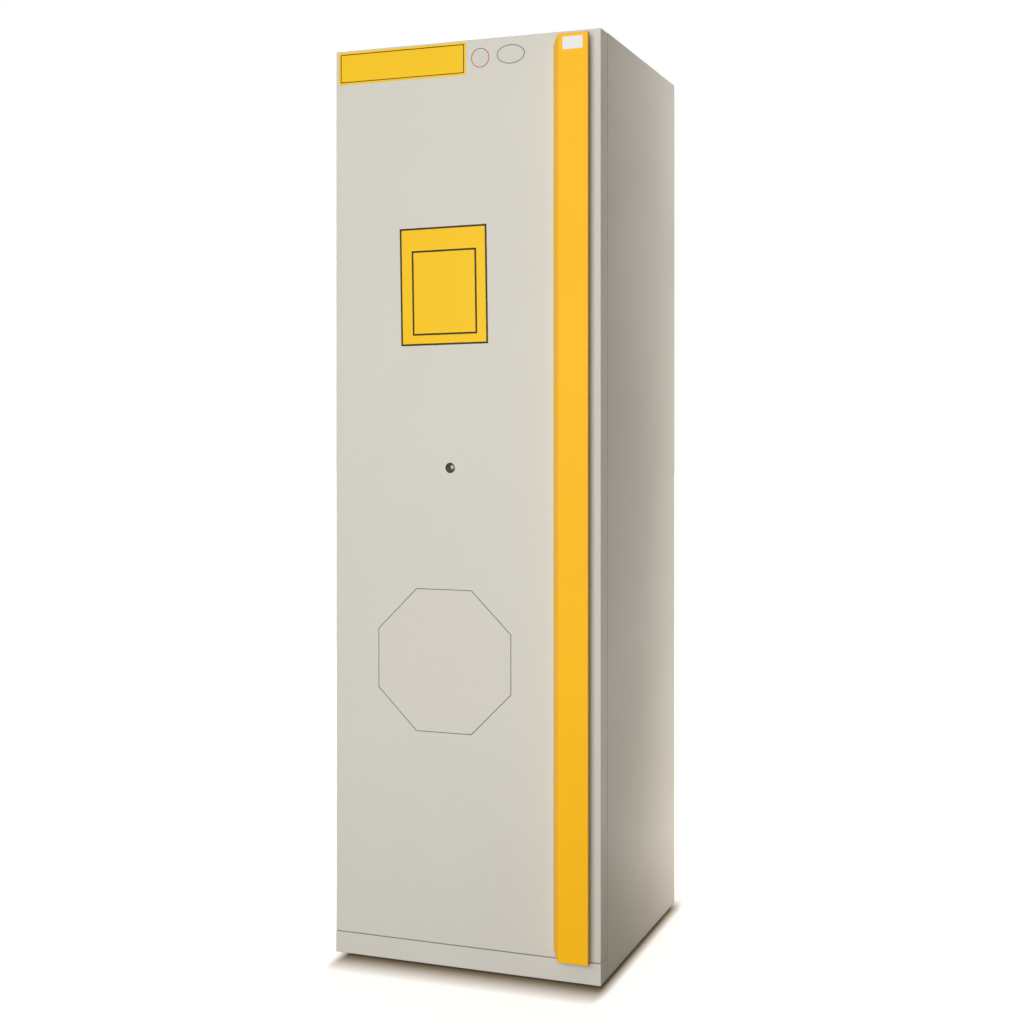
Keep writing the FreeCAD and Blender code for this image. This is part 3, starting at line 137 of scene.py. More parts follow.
def edgeWearAndHighlightGroup():
    # edges where a rounded normal parts from the flat one, broken up by noise: real wear on plated steel,
    # and on powder coat a lighter tint that is a painted edge highlight
    group, start, end = newGroup(
        "edgeWearAndHighlight", [("Width", "NodeSocketFloat", 0.0015), ("Amount", "NodeSocketFloat", 0.5),
                     ("Break", "NodeSocketFloat", 60.0)],
        [("Mask", "NodeSocketFloat"), ("Normal", "NodeSocketVector")])
    tree, links = group.nodes, group.links
    bevel = tree.new("ShaderNodeBevel")
    bevel.samples = 4
    links.new(start.outputs["Width"], bevel.inputs["Radius"])
    flat = tree.new("ShaderNodeNewGeometry")
    dot = tree.new("ShaderNodeVectorMath")
    dot.operation = "DOT_PRODUCT"
    links.new(bevel.outputs["Normal"], dot.inputs[0])
    links.new(flat.outputs["Normal"], dot.inputs[1])
    edge = rangeNode(tree, links, dot.outputs["Value"], 0.995, 0.8)
    broken = noiseNode(tree, links, objectCoords(tree), start.outputs["Break"], 5.0, 0.65)
    chips = rangeNode(tree, links, broken, 0.42, 0.62)
    chipped = mathNode(tree, links, "MULTIPLY", edge, chips)
    mask = mathNode(tree, links, "MULTIPLY", chipped, start.outputs["Amount"], clamp=True)
    links.new(mask, end.inputs["Mask"])
    links.new(bevel.outputs["Normal"], end.inputs["Normal"])
    return group


def dustAndLowDarkeningGroup():
    # dust that settles on faces that look up, and a darker tone low on the cabinet
    group, start, end = newGroup(
        "dustAndLowDarkening", [("Settled", "NodeSocketFloat", 0.4), ("Low", "NodeSocketFloat", 0.3),
                 ("Reach", "NodeSocketFloat", 0.35)],
        [("Mask", "NodeSocketFloat")])
    tree, links = group.nodes, group.links
    normal = tree.new("ShaderNodeSeparateXYZ")
    links.new(tree.new("ShaderNodeNewGeometry").outputs["Normal"], normal.inputs[0])
    up = rangeNode(tree, links, normal.outputs["Z"], 0.6, 1.0)
    coords = objectCoords(tree)
    cloud = rangeNode(tree, links, noiseNode(tree, links, coords, 9.0, 5.0, 0.6), 0.35, 0.7, 0.35, 1.0)
    place = tree.new("ShaderNodeSeparateXYZ")
    links.new(coords, place.inputs[0])
    # darker towards the bottom, from Reach metres above the floor down to it
    low = rangeNode(tree, links, place.outputs["Z"], start.outputs["Reach"], 0.0)
    settled = mathNode(tree, links, "MULTIPLY", up, start.outputs["Settled"])
    lowDarkening = mathNode(tree, links, "MULTIPLY", low, start.outputs["Low"])
    spread = mathNode(tree, links, "ADD", settled, lowDarkening)
    both = mathNode(tree, links, "MULTIPLY", spread, cloud, clamp=True)
    links.new(both, end.inputs["Mask"])
    return group


def grainGroup():
    # long fine lines, as on drawn or brushed steel
    group, start, end = newGroup(
        "grain", [("Along", "NodeSocketFloat", 4.0), ("Across", "NodeSocketFloat", 700.0)],
        [("Line", "NodeSocketFloat")])
    tree, links = group.nodes, group.links
    scale = tree.new("ShaderNodeCombineXYZ")
    links.new(start.outputs["Across"], scale.inputs["X"])
    links.new(start.outputs["Across"], scale.inputs["Y"])
    links.new(start.outputs["Along"], scale.inputs["Z"])
    product = tree.new("ShaderNodeVectorMath")
    product.operation = "MULTIPLY"
    links.new(objectCoords(tree), product.inputs[0])
    links.new(scale.outputs["Vector"], product.inputs[1])
    links.new(noiseNode(tree, links, product.outputs["Vector"], 1.0, 3.0, 0.6), end.inputs["Line"])
    return group


groups = {"peel": coatPeelGroup(), "wearAndHighlight": edgeWearAndHighlightGroup(), "dustAndLowDarkening": dustAndLowDarkeningGroup(), "grain": grainGroup()}
print("shader groups:", len(groups))


# holds one material while its nodes are laid
class Finish:
    def __init__(self, name, roughness, metallic=0.0, **fixed):
        self.material = bpy.data.materials.new(name)
        self.material.use_nodes = True
        self.tree = self.material.node_tree.nodes
        self.links = self.material.node_tree.links
        self.shader = self.tree["Principled BSDF"]
        self.shader.inputs["Roughness"].default_value = roughness
        self.shader.inputs["Metallic"].default_value = metallic
        for label, value in fixed.items():
            self.shader.inputs[label.replace("_", " ")].default_value = value

    def effect(self, name, **values):
        node = self.tree.new("ShaderNodeGroup")
        node.node_tree = groups[name]
        for label, value in values.items():
            node.inputs[label].default_value = value
        return node.outputs

    def mix(self, factor, first, second):
        return blendNode(self.tree, self.links, factor, first, second)

    def colour(self, value):
        self.links.new(value, self.shader.inputs["Base Color"])

    def roughness(self, value, low, high):
        spread = rangeNode(self.tree, self.links, value, 0.0, 1.0, low, high)
        self.links.new(spread, self.shader.inputs["Roughness"])

    def bump(self, height, strength, distance, normal=None):
        node = self.tree.new("ShaderNodeBump")
        node.inputs["Strength"].default_value = strength
        node.inputs["Distance"].default_value = distance
        self.links.new(height, node.inputs["Height"])
        if normal is not None:
            self.links.new(normal, node.inputs["Normal"])
        self.links.new(node.outputs["Normal"], self.shader.inputs["Normal"])


dustAndLowDarkeningTone = (0.46, 0.43, 0.37)
brightTone = (0.82, 0.83, 0.84)    # rubbed zinc on an edge


def powderCoat(name, colour, shade, edge, roughness, peel=900.0, wearAndHighlight=0.5, dustAndLowDarkening=(0.45, 0.10), level=0.5):
    made = Finish(name, roughness, Specular_IOR_Level=level)
    peelOut = made.effect("peel", Peel=peel, Wave=5.0)
    edges = made.effect("wearAndHighlight", Width=0.0016, Amount=wearAndHighlight, Break=55.0)
    # this mask also darkens the paint towards the bottom of the cabinet
    dustAndLowDarkeningMask = made.effect("dustAndLowDarkening", Settled=dustAndLowDarkening[0], Low=dustAndLowDarkening[1], Reach=0.5)["Mask"]
    base = made.mix(peelOut["Mottle"], colour, shade)
    # the edge colour is a lighter tint of the paint: a painted highlight along the edges, broken up like
    # wear
    made.colour(made.mix(dustAndLowDarkeningMask, made.mix(edges["Mask"], base, edge), dustAndLowDarkeningTone))
    made.roughness(peelOut["Mottle"], roughness - 0.04, roughness + 0.05)
    made.bump(peelOut["Height"], 0.10, 0.0006, edges["Normal"])
    return made.material


def platedSteel(name, colour, shade, roughness, across=500.0):
    made = Finish(name, roughness, metallic=1.0)
    line = made.effect("grain", Along=6.0, Across=across)["Line"]
    worn = made.effect("wearAndHighlight", Width=0.001, Amount=0.6, Break=90.0)["Mask"]
    made.colour(made.mix(worn, made.mix(line, colour, shade), brightTone))
    made.roughness(line, roughness - 0.08, roughness + 0.14)
    made.bump(line, 0.15, 0.0002)
    return made.material


def galvanisedSheet(name, colour, shade):
    # the crystal pattern that hot zinc leaves on sheet
    made = Finish(name, 0.45, metallic=1.0)
    crystal = made.tree.new("ShaderNodeTexVoronoi")
    crystal.inputs["Scale"].default_value = 95.0
    made.links.new(objectCoords(made.tree), crystal.inputs["Vector"])
    facet = made.tree.new("ShaderNodeSeparateXYZ")
    made.links.new(crystal.outputs["Color"], facet.inputs[0])
    made.colour(made.mix(facet.outputs["X"], colour, shade))
    made.roughness(facet.outputs["Y"], 0.36, 0.56)
    made.bump(crystal.outputs["Distance"], 0.12, 0.0003)
    return made.material


def mineralBoard(name, colour, shade):
    made = Finish(name, 0.92)
    coords = objectCoords(made.tree)
    combed = stretched(made.tree, made.links, coords, (60.0, 60.0, 240.0))
    fibre = noiseNode(made.tree, made.links, combed, 1.0, 6.0)
    fleck = made.tree.new("ShaderNodeTexVoronoi")
    fleck.inputs["Scale"].default_value = 260.0
    made.links.new(coords, fleck.inputs["Vector"])
    spot = rangeNode(made.tree, made.links, fleck.outputs["Distance"], 0.08, 0.2)
    made.colour(made.mix(spot, shade, made.mix(fibre, colour, shade)))
    made.bump(fibre, 0.5, 0.0008)
    return made.material


def linerBoard(name, colour, shade):
    made = Finish(name, 0.55)
    peelOut = made.effect("peel", Peel=1400.0, Wave=3.0)
    scuffs = made.effect("grain", Along=30.0, Across=90.0)["Line"]
    scuffMask = rangeNode(made.tree, made.links, scuffs, 0.62, 0.78)
    made.colour(made.mix(scuffMask, made.mix(peelOut["Mottle"], colour, shade), shade))
    made.roughness(scuffs, 0.42, 0.66)
    made.bump(peelOut["Height"], 0.12, 0.0004)
    return made.material


def softSeal(name, colour, shade):
    made = Finish(name, 0.78)
    peelOut = made.effect("peel", Peel=2200.0, Wave=14.0)
    made.colour(made.mix(peelOut["Mottle"], colour, shade))
    made.roughness(peelOut["Mottle"], 0.68, 0.86)
    made.bump(peelOut["Height"], 0.3, 0.0005)
    return made.material


def turnedMetal(name, colour, shade, roughness):
    made = Finish(name, roughness, metallic=1.0)
    coords = objectCoords(made.tree)
    rings = noiseNode(made.tree, made.links, coords, 420.0, 4.0, 0.6)
    made.colour(made.mix(rings, colour, shade))
    made.roughness(rings, roughness - 0.04, roughness + 0.10)
    made.bump(rings, 0.06, 0.0002)
    return made.material


def printedFilm(name, colour, shade, roughness=0.34, coat=0.0, level=0.5):
    # vinyl label stock: even ink, a slow mottle and a faint pebble from the paint below
    made = Finish(name, roughness, Coat_Weight=coat, Coat_Roughness=0.18, Specular_IOR_Level=level)
    peelOut = made.effect("peel", Peel=700.0, Wave=12.0)
    made.colour(made.mix(peelOut["Mottle"], colour, shade))
    made.roughness(peelOut["Mottle"], roughness - 0.05, roughness + 0.08)
    made.bump(peelOut["Height"], 0.06, 0.0004)
    return made.material


finishes = {
    "outerGrey": powderCoat("outerGrey", (0.678, 0.670, 0.622), (0.660, 0.652, 0.604), (0.73, 0.72, 0.65),
                            0.56, level=0.15),
    "gripYellow": powderCoat("gripYellow", (0.980, 0.520, 0.006), (0.955, 0.500, 0.005), (0.99, 0.60, 0.06),
                             0.44, peel=700.0, dustAndLowDarkening=(0.30, 0.0), level=0.2),
    "innerGrey": powderCoat("innerGrey", (0.640, 0.640, 0.620), (0.615, 0.615, 0.595), (0.70, 0.70, 0.68),
                            0.40, dustAndLowDarkening=(0.25, 0.0)),
    "whiteLiner": linerBoard("whiteLiner", (0.720, 0.710, 0.680), (0.660, 0.650, 0.620)),
    "mineralBoard": mineralBoard("mineralBoard", (0.740, 0.720, 0.660), (0.560, 0.540, 0.490)),
    "zincPlate": platedSteel("zincPlate", (0.620, 0.630, 0.640), (0.500, 0.510, 0.525), 0.38),
    "galvanised": galvanisedSheet("galvanised", (0.470, 0.485, 0.500), (0.300, 0.312, 0.325)),
    "stainless": platedSteel("stainless", (0.660, 0.660, 0.655), (0.560, 0.560, 0.555), 0.30, across=900.0),
    "darkChrome": turnedMetal("darkChrome", (0.066, 0.064, 0.052), (0.042, 0.040, 0.032), 0.20),
    "plugChrome": turnedMetal("plugChrome", (0.090, 0.088, 0.074), (0.060, 0.058, 0.048), 0.16),
    "brass": turnedMetal("brass", (0.72, 0.52, 0.20), (0.60, 0.42, 0.15), 0.28),
    "sealGrey": softSeal("sealGrey", (0.080, 0.078, 0.075), (0.045, 0.044, 0.043)),
    "fireStrip": softSeal("fireStrip", (0.300, 0.290, 0.270), (0.220, 0.212, 0.200)),
    "plateYellow": printedFilm("plateYellow", (0.945, 0.590, 0.010), (0.920, 0.565, 0.008), level=0.25),
    "plateInk": printedFilm("plateInk", (0.034, 0.027, 0.004), (0.024, 0.018, 0.003), 0.50, level=0.2),
    "labelWhite": printedFilm("labelWhite", (0.800, 0.800, 0.800), (0.770, 0.770, 0.770)),
    "labelGround": printedFilm("labelGround", (0.630, 0.605, 0.575), (0.600, 0.578, 0.548)),
    "labelRed": printedFilm("labelRed", (0.420, 0.085, 0.080), (0.380, 0.070, 0.065), 0.42),
    "filmGrey": printedFilm("filmGrey", (0.676, 0.660, 0.612), (0.658, 0.642, 0.594), 0.48, level=0.22),
    "lineGrey": printedFilm("lineGrey", (0.150, 0.145, 0.135), (0.110, 0.105, 0.098), 0.42, 0.1),
}

nodeFinish = {
    "outerGrey": ["outer_side_left", "outer_side_right", "outer_top", "outer_back", "plinth_cover",
                  "door_skin"],
    "gripYellow": ["handle_profile"],
    "innerGrey": ["inner_panel", "door_back_plate", "tray_shelf_lower", "tray_shelf_middle",
                  "tray_shelf_upper", "air_duct", "exhaust_grille", "base_frame"],
    "whiteLiner": ["liner_left", "liner_right", "liner_top", "liner_floor", "liner_back"],
    "mineralBoard": ["insulation_left", "insulation_right", "insulation_top", "insulation_floor",
                     "insulation_back", "door_core"],
    "stainless": ["bottom_sump", "sump_grid", "strike_plates"],
    "galvanised": ["exhaust_spigot"],
    "darkChrome": ["lock_barrel"],
    "plugChrome": ["key_plug"],
    "brass": ["hinge_bushes", "thrust_washer", "earth_stud"],
    "sealGrey": ["smoke_seal"],
    "fireStrip": ["fire_seal"],
}
finishOf = {node: finish for finish, listed in nodeFinish.items() for node in listed}
for node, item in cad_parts.items():
    item.data.materials.clear()
    item.data.materials.append(finishes[finishOf.get(node, "zincPlate")])
print("materials:", len(finishes))


def addPiece(name, shape, body, finish, smooth=False):
    bmesh.ops.remove_doubles(shape, verts=shape.verts, dist=1e-6)
    bmesh.ops.recalc_face_normals(shape, faces=shape.faces)
    mesh = bpy.data.meshes.new(name)
    shape.to_mesh(mesh)
    shape.free()
    for face in mesh.polygons:
        face.use_smooth = smooth
    piece = bpy.data.objects.new(name, mesh)
    bpy.context.scene.collection.objects.link(piece)
    mesh.materials.append(finishes[finish])
    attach(piece, body)
    return piece


faceOut = Matrix.Rotation(math.radians(90), 4, "X")    # a flat XY shape turned to look along -Y


# gives a flat shape in the XY plane a thickness along +Z
def extrudeFlat(shape, depth):
    made = bmesh.ops.extrude_face_region(shape, geom=list(shape.faces))
    raised = [item for item in made["geom"] if isinstance(item, bmesh.types.BMVert)]
    bmesh.ops.translate(shape, verts=raised, vec=(0.0, 0.0, depth))


# a flat rectangle in XY with its middle at the origin
def flatShape(width, height):
    shape = bmesh.new()
    bmesh.ops.create_grid(shape, x_segments=1, y_segments=1, size=0.5)
    bmesh.ops.scale(shape, verts=shape.verts, vec=(width, height, 1.0))
    return shape


# a thin plate with round corners
def labelShape(width, height, corner, depth):
    shape = flatShape(width, height)
    bmesh.ops.bevel(shape, geom=shape.verts, offset=corner, offset_type="OFFSET", segments=4, profile=0.5,
                    affect="VERTICES", material=-1)
    extrudeFlat(shape, depth)
    return shape


# a thin rectangular line, as printed round a plate
def frameShape(width, height, line, depth):
    return hollowed(flatShape(width, height), line, depth)


def hollowed(shape, line, depth):
    # keeps only a line of even width along the edge of a flat shape, and gives it a thickness
    middle = list(shape.faces)
    bmesh.ops.inset_individual(shape, faces=middle, thickness=line, use_even_offset=True)
    bmesh.ops.delete(shape, geom=middle, context="FACES")
    extrudeFlat(shape, depth)
    return shape


# a thin round, oval or many-sided plate
def discShape(across, up, count, depth, turn=0.0):
    shape = bmesh.new()
    bmesh.ops.create_circle(shape, cap_ends=True, radius=0.5, segments=count)
    bmesh.ops.rotate(shape, verts=shape.verts, cent=(0, 0, 0), matrix=Matrix.Rotation(turn, 3, "Z"))
    bmesh.ops.scale(shape, verts=shape.verts, vec=(across, up, 1.0))
    if depth:
        extrudeFlat(shape, depth)
    return shape


# turns a flat shape to the front and sets it on the door, lift metres off its face
def setOnDoor(shape, fromLeft, above, lift, plane=None, askew=0.0):
    front = doorLow.y if plane is None else plane
    place = Matrix.Translation((doorLow.x + fromLeft, front - lift, above))
    turn = Matrix.Rotation(askew, 4, "Z")
    bmesh.ops.transform(shape, matrix=place @ faceOut @ turn, verts=shape.verts)
    return shape


# width, height and middle of what lies between four edges
def spanOf(left, right, low, high):
    return right - left, high - low, ((left + right) / 2, (low + high) / 2)


def makeNamePlate():
    # ink is how far the printed line stands out
    plate = {"left": 0.0070, "right": 0.3026, "low": 1.8764, "high": 1.9456, "corner": 0.0015,
             "thick": 0.0004, "line": 0.0018, "inset": 0.0042, "ink": 0.00012}
    width, height, centre = spanOf(plate["left"], plate["right"], plate["low"], plate["high"])
    body = labelShape(width, height, plate["corner"], plate["thick"])
    addPiece("namePlate", setOnDoor(body, *centre, 0.0), "door", "plateYellow")
    inset = 2 * plate["inset"]
    rim = frameShape(width - inset, height - inset, plate["line"], plate["ink"])
    addPiece("namePlateRim", setOnDoor(rim, *centre, plate["thick"]), "door", "plateInk")


def makeSignPlate():
    sign = {"left": 0.1527, "right": 0.3508, "low": 1.312, "high": 1.5613, "innerLeft": 0.1797,
            "innerRight": 0.3269, "innerLow": 1.3334, "innerHigh": 1.5129, "corner": 0.0010,
            "thick": 0.0004, "line": 0.0040, "ink": 0.00012, "askew": math.radians(0.9)}
    width, height, centre = spanOf(sign["left"], sign["right"], sign["low"], sign["high"])
    body = labelShape(width, height, sign["corner"], sign["thick"])
    body = setOnDoor(body, *centre, 0.0, askew=sign["askew"])
    addPiece("signPlate", body, "door", "plateYellow")
    rim = frameShape(width, height, sign["line"], sign["ink"])
    rim = setOnDoor(rim, *centre, sign["thick"], askew=sign["askew"])
    addPiece("signPlateRim", rim, "door", "plateInk")
    width, height, middle = spanOf(sign["innerLeft"], sign["innerRight"], sign["innerLow"],
                                   sign["innerHigh"])
    inner = frameShape(width, height, sign["line"], sign["ink"])
    offset = (middle[0] - centre[0], middle[1] - centre[1], 0.0)
    bmesh.ops.translate(inner, verts=inner.verts, vec=offset)
    inner = setOnDoor(inner, *centre, sign["thick"], askew=sign["askew"])
    addPiece("signPlateInnerRim", inner, "door", "plateInk")


def makeOctagon():
    film = {"across": 0.303, "fromLeft": 0.2525, "above": 0.6461, "sides": 8, "thick": 0.0003,
            "line": 0.0018, "ink": 0.0001}
    turn = math.pi / film["sides"]    # stands on a flat side
    corners = film["across"] / math.cos(turn)
    place = (film["fromLeft"], film["above"])
    body = discShape(corners, corners, film["sides"], film["thick"], turn)
    addPiece("octagonFilm", setOnDoor(body, *place, 0.0), "door", "filmGrey")
    rim = hollowed(discShape(corners, corners, film["sides"], 0.0, turn), film["line"], film["ink"])
    addPiece("octagonRim", setOnDoor(rim, *place, film["thick"]), "door", "lineGrey")


def makeRoundLabels():
    stock = {"thick": 0.0003, "line": 0.0018, "ink": 0.0001, "sides": 48}
    # place from the left and above the floor, size across and up
    labels = {"small": (0.3349, 1.9099, 0.041, 0.041, "labelRed"),
              "wide": (0.4029, 1.9124, 0.062, 0.040, "lineGrey")}
    for name, (fromLeft, above, across, up, ink) in labels.items():
        place = (fromLeft, above)
        body = setOnDoor(discShape(across, up, stock["sides"], stock["thick"]), *place, 0.0)
        addPiece(name + "RoundLabel", body, "door", "labelGround")
        rim = hollowed(discShape(across, up, stock["sides"], 0.0), stock["line"], stock["ink"])
        rim = setOnDoor(rim, *place, stock["thick"])
        addPiece(name + "RoundLabelRim", rim, "door", ink)


def makeGripLabel():
    label = {"left": 0.525, "right": 0.568, "low": 1.9053, "high": 1.9313, "corner": 0.0012,
             "thick": 0.0001}
    width, height, centre = spanOf(label["left"], label["right"], label["low"], label["high"])
    body = setOnDoor(labelShape(width, height, label["corner"], label["thick"]), *centre, 0.0, gripLow.y)
    addPiece("gripLabel", body, "door", "labelWhite")


# a round head on the XY plane, with a softened rim and a sunk middle
def headShape(radius, tall, hole, count=20):
    share = {"round": 0.7, "sunk": 0.5, "slope": 0.1}    # of its height, its height and its hole
    topFrom = tall * 0.99
    shape = bmesh.new()
    bmesh.ops.create_cone(shape, cap_ends=True, segments=count, radius1=radius, radius2=radius,
                          depth=tall)
    bmesh.ops.translate(shape, verts=shape.verts, vec=(0.0, 0.0, tall / 2))
    rim = [edge for edge in shape.edges if min(vert.co.z for vert in edge.verts) > topFrom]
    bmesh.ops.bevel(shape, geom=rim, offset=tall * share["round"], offset_type="OFFSET", segments=3,
                    profile=0.5, affect="EDGES", material=-1)
    top = [face for face in shape.faces if all(vert.co.z > topFrom for vert in face.verts)]
    across = max(vert.co.x for vert in top[0].verts)
    bmesh.ops.inset_individual(shape, faces=top, thickness=across - hole, depth=0.0)
    bmesh.ops.inset_individual(shape, faces=top, thickness=hole * share["slope"],
                               depth=-tall * share["sunk"])
    return shape


# repeats one head at many places, as one mesh
def repeated(head, places, turn):
    mesh = bpy.data.meshes.new("head")
    head.to_mesh(mesh)
    head.free()
    whole = bmesh.new()
    for place in places:
        start = len(whole.verts)
        whole.from_mesh(mesh)
        whole.verts.ensure_lookup_table()
        bmesh.ops.transform(whole, matrix=Matrix.Translation(place) @ turn, verts=whole.verts[start:])
    bpy.data.meshes.remove(mesh)
    return whole


def evenly(start, end, count):
    return [start + (end - start) * step / (count - 1) for step in range(count)]


faceBack = Matrix.Rotation(math.radians(-90), 4, "X")     # turned to look along +Y
faceRight = Matrix.Rotation(math.radians(90), 4, "Y")     # along +X
faceLeft = Matrix.Rotation(math.radians(-90), 4, "Y")     # along -X
faceUp = Matrix.Identity(4)


def makeCasingRivets():
    rivets = {"radius": 0.0042, "tall": 0.0013, "hole": 0.0016, "inset": 0.012, "count": 7, "end": 0.055,
              "backReach": 0.200, "backCount": 3, "backStagger": 0.030}
    low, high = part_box("outer_side_left")[0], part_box("outer_side_right")[1]
    levels = evenly(low.z + rivets["end"], high.z - rivets["end"], rivets["count"])
    places = [(side, high.y, level) for side in (low.x + rivets["inset"], high.x - rivets["inset"])
              for level in levels]
    head = headShape(rivets["radius"], rivets["tall"], rivets["hole"])
    addPiece("casingRivets", repeated(head, places, faceBack), "casing", "outerGrey")
    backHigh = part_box("outer_back")[1]
    rows = [(across, backHigh.y, level)
            for across in evenly(-rivets["backReach"], rivets["backReach"], rivets["backCount"])
            for level in (levels[0] - rivets["backStagger"], levels[-1] + rivets["backStagger"])]
    head = headShape(rivets["radius"], rivets["tall"], rivets["hole"])
    addPiece("backSheetRivets", repeated(head, rows, faceBack), "casing", "outerGrey")


def makeLinerCaps():
    caps = {"radius": 0.0068, "tall": 0.0020, "hole": 0.0030, "fromFront": 0.020, "fromMiddle": 0.200,
            "count": 5, "fromFloor": 0.210, "fromTop": 0.080}
    left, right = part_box("liner_left"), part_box("liner_right")
    levels = evenly(left[0].z + caps["fromFloor"], left[1].z - caps["fromTop"], caps["count"])
    front = left[0].y + caps["fromFront"]
    rows = (("linerCapsLeft", [(left[1].x, front, level) for level in levels], faceRight),
            ("linerCapsRight", [(right[0].x, front, level) for level in levels], faceLeft),
            ("linerCapsBack", [(side * caps["fromMiddle"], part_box("liner_back")[0].y, level)
                               for side in (-1, 1) for level in levels], faceOut))
    for name, places, turn in rows:
        head = headShape(caps["radius"], caps["tall"], caps["hole"])
        addPiece(name, repeated(head, places, turn), "casing", "whiteLiner")


def makeInnerRivets():
    rivets = {"radius": 0.0035, "tall": 0.0011, "hole": 0.0013, "end": 0.03, "panelOff": 0.0105,
              "panelCount": 7, "panelReach": 0.165, "panelRow": 3, "levels": (0.190, 0.702, 1.214, 1.726),
              "uprightWide": 0.020, "uprightThick": 0.006, "ductSheet": 0.001, "ductInset": 0.007,
              "ductCount": 6}
    panelLow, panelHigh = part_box("inner_panel")
    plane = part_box("door_back_plate")[1].y
    levels = evenly(panelLow.z + rivets["end"], panelHigh.z - rivets["end"], rivets["panelCount"])
    sides = (panelLow.x - rivets["panelOff"], panelHigh.x + rivets["panelOff"])
    places = [(side, plane, level) for side in sides for level in levels]
    places += [(across, plane, level)
               for across in evenly(-rivets["panelReach"], rivets["panelReach"], rivets["panelRow"])
               for level in (panelLow.z - rivets["panelOff"], panelHigh.z + rivets["panelOff"])]
    head = headShape(rivets["radius"], rivets["tall"], rivets["hole"])
    addPiece("doorPanelRivets", repeated(head, places, faceBack), "door", "zincPlate")

    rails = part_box("shelf_uprights")
    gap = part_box("tray_shelf_lower")[0].x - rails[0].x
    thick, half = rivets["uprightThick"], rivets["uprightWide"] / 2
    for name, side, turn in (("uprightRivetsLeft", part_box("liner_left")[1].x + thick, faceRight),
                             ("uprightRivetsRight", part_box("liner_right")[0].x - thick, faceLeft)):
        rows = [(side, depth, level) for depth in (rails[0].y + half, rails[1].y - half)
                for level in rivets["levels"]]
        head = headShape(rivets["radius"], min(rivets["tall"], gap / 3), rivets["hole"])
        addPiece(name, repeated(head, rows, turn), "casing", "zincPlate")

    ductLow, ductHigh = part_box("air_duct")
    flange = ductHigh.y - rivets["ductSheet"]
    sides = (ductLow.x + rivets["ductInset"], ductHigh.x - rivets["ductInset"])
    levels = evenly(ductLow.z + rivets["end"], ductHigh.z - rivets["end"], rivets["ductCount"])
    rows = [(side, flange, level) for side in sides for level in levels]
    head = headShape(rivets["radius"], rivets["tall"], rivets["hole"])
    addPiece("ductRivets", repeated(head, rows, faceOut), "casing", "zincPlate")


def makeHingeScrews():
    screws = {"radius": 0.0055, "tall": 0.0016, "hole": 0.0026, "from": 0.014, "to": 0.058, "back": 0.014,
              "count": 3, "sides": 24}
    low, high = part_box("hinge_plate_top")
    places = [(across, high.y - screws["back"], high.z)
              for across in evenly(low.x + screws["from"], low.x + screws["to"], screws["count"])]
    head = headShape(screws["radius"], screws["tall"], screws["hole"], screws["sides"])
    addPiece("hingeScrews", repeated(head, places, faceUp), "casing", "zincPlate")


def makeSpigotBeads():
    # two rolled beads that hold a hose clamp
    bead = {"radius": 0.0017, "pipe": 0.0375, "drops": (0.006, 0.024), "steps": 72, "sides": 12}
    low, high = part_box("exhaust_spigot")
    middle = (low + high) / 2
    shape = bmesh.new()
    for drop in bead["drops"]:
        made = bmesh.ops.create_circle(shape, cap_ends=False, radius=bead["radius"],
                                       segments=bead["sides"])
        place = Matrix.Translation((middle.x + bead["pipe"], middle.y, high.z - drop)) @ faceOut
        bmesh.ops.transform(shape, matrix=place, verts=made["verts"])
        edges = list({edge for vert in made["verts"] for edge in vert.link_edges})
        bmesh.ops.spin(shape, geom=made["verts"] + edges, cent=(middle.x, middle.y, 0.0),
                       axis=(0.0, 0.0, 1.0), dvec=(0.0, 0.0, 0.0), angle=math.tau, steps=bead["steps"],
                       use_merge=True)
    addPiece("spigotBeads", shape, "casing", "galvanised", smooth=True)


def makeBulbSeal():
    # hollow rubber profile, rising from its foot to a round bulb and back
    rises = ((0.0006, 0.0013), (0.0016, 0.0003), (0.0009, 0.0013), (0.0013, 0.0006), (0.0018, 0.00015),
             (0.0018, -0.00015), (0.0013, -0.0006), (0.0009, -0.0013), (0.0016, -0.0003), (0.0006, -0.0013))
    low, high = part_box("smoke_seal")
    shape = flatShape(high.x - low.x, high.z - low.z)
    middle = list(shape.faces)
    for across, rise in rises:
        bmesh.ops.inset_individual(shape, faces=middle, thickness=across, depth=rise,
                                   use_even_offset=True)
    bmesh.ops.delete(shape, geom=middle, context="FACES")
    bmesh.ops.bridge_loops(shape, edges=[edge for edge in shape.edges if edge.is_boundary])
    centre = (low + high) / 2
    place = Matrix.Translation((centre.x, low.y, centre.z)) @ faceBack
    bmesh.ops.transform(shape, matrix=place, verts=shape.verts)
    seal = addPiece("bulbSeal", shape, "door", "sealGrey")
    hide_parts("smoke_seal")


makeNamePlate()
makeSignPlate()
makeOctagon()
makeRoundLabels()
makeGripLabel()
print("plates and labels set")

makeCasingRivets()
makeLinerCaps()
makeInnerRivets()
makeHingeScrews()
makeSpigotBeads()
makeBulbSeal()
print("fasteners, beads and seal made")


# 1 for what the camera sees itself, in gloss or through glass
def seenDirectly(tree, links):
    rays = tree.new("ShaderNodeLightPath")
    seen = mathNode(tree, links, "MAXIMUM", rays.outputs["Is Camera Ray"], rays.outputs["Is Glossy Ray"])
    return mathNode(tree, links, "MAXIMUM", seen, rays.outputs["Is Transmission Ray"])


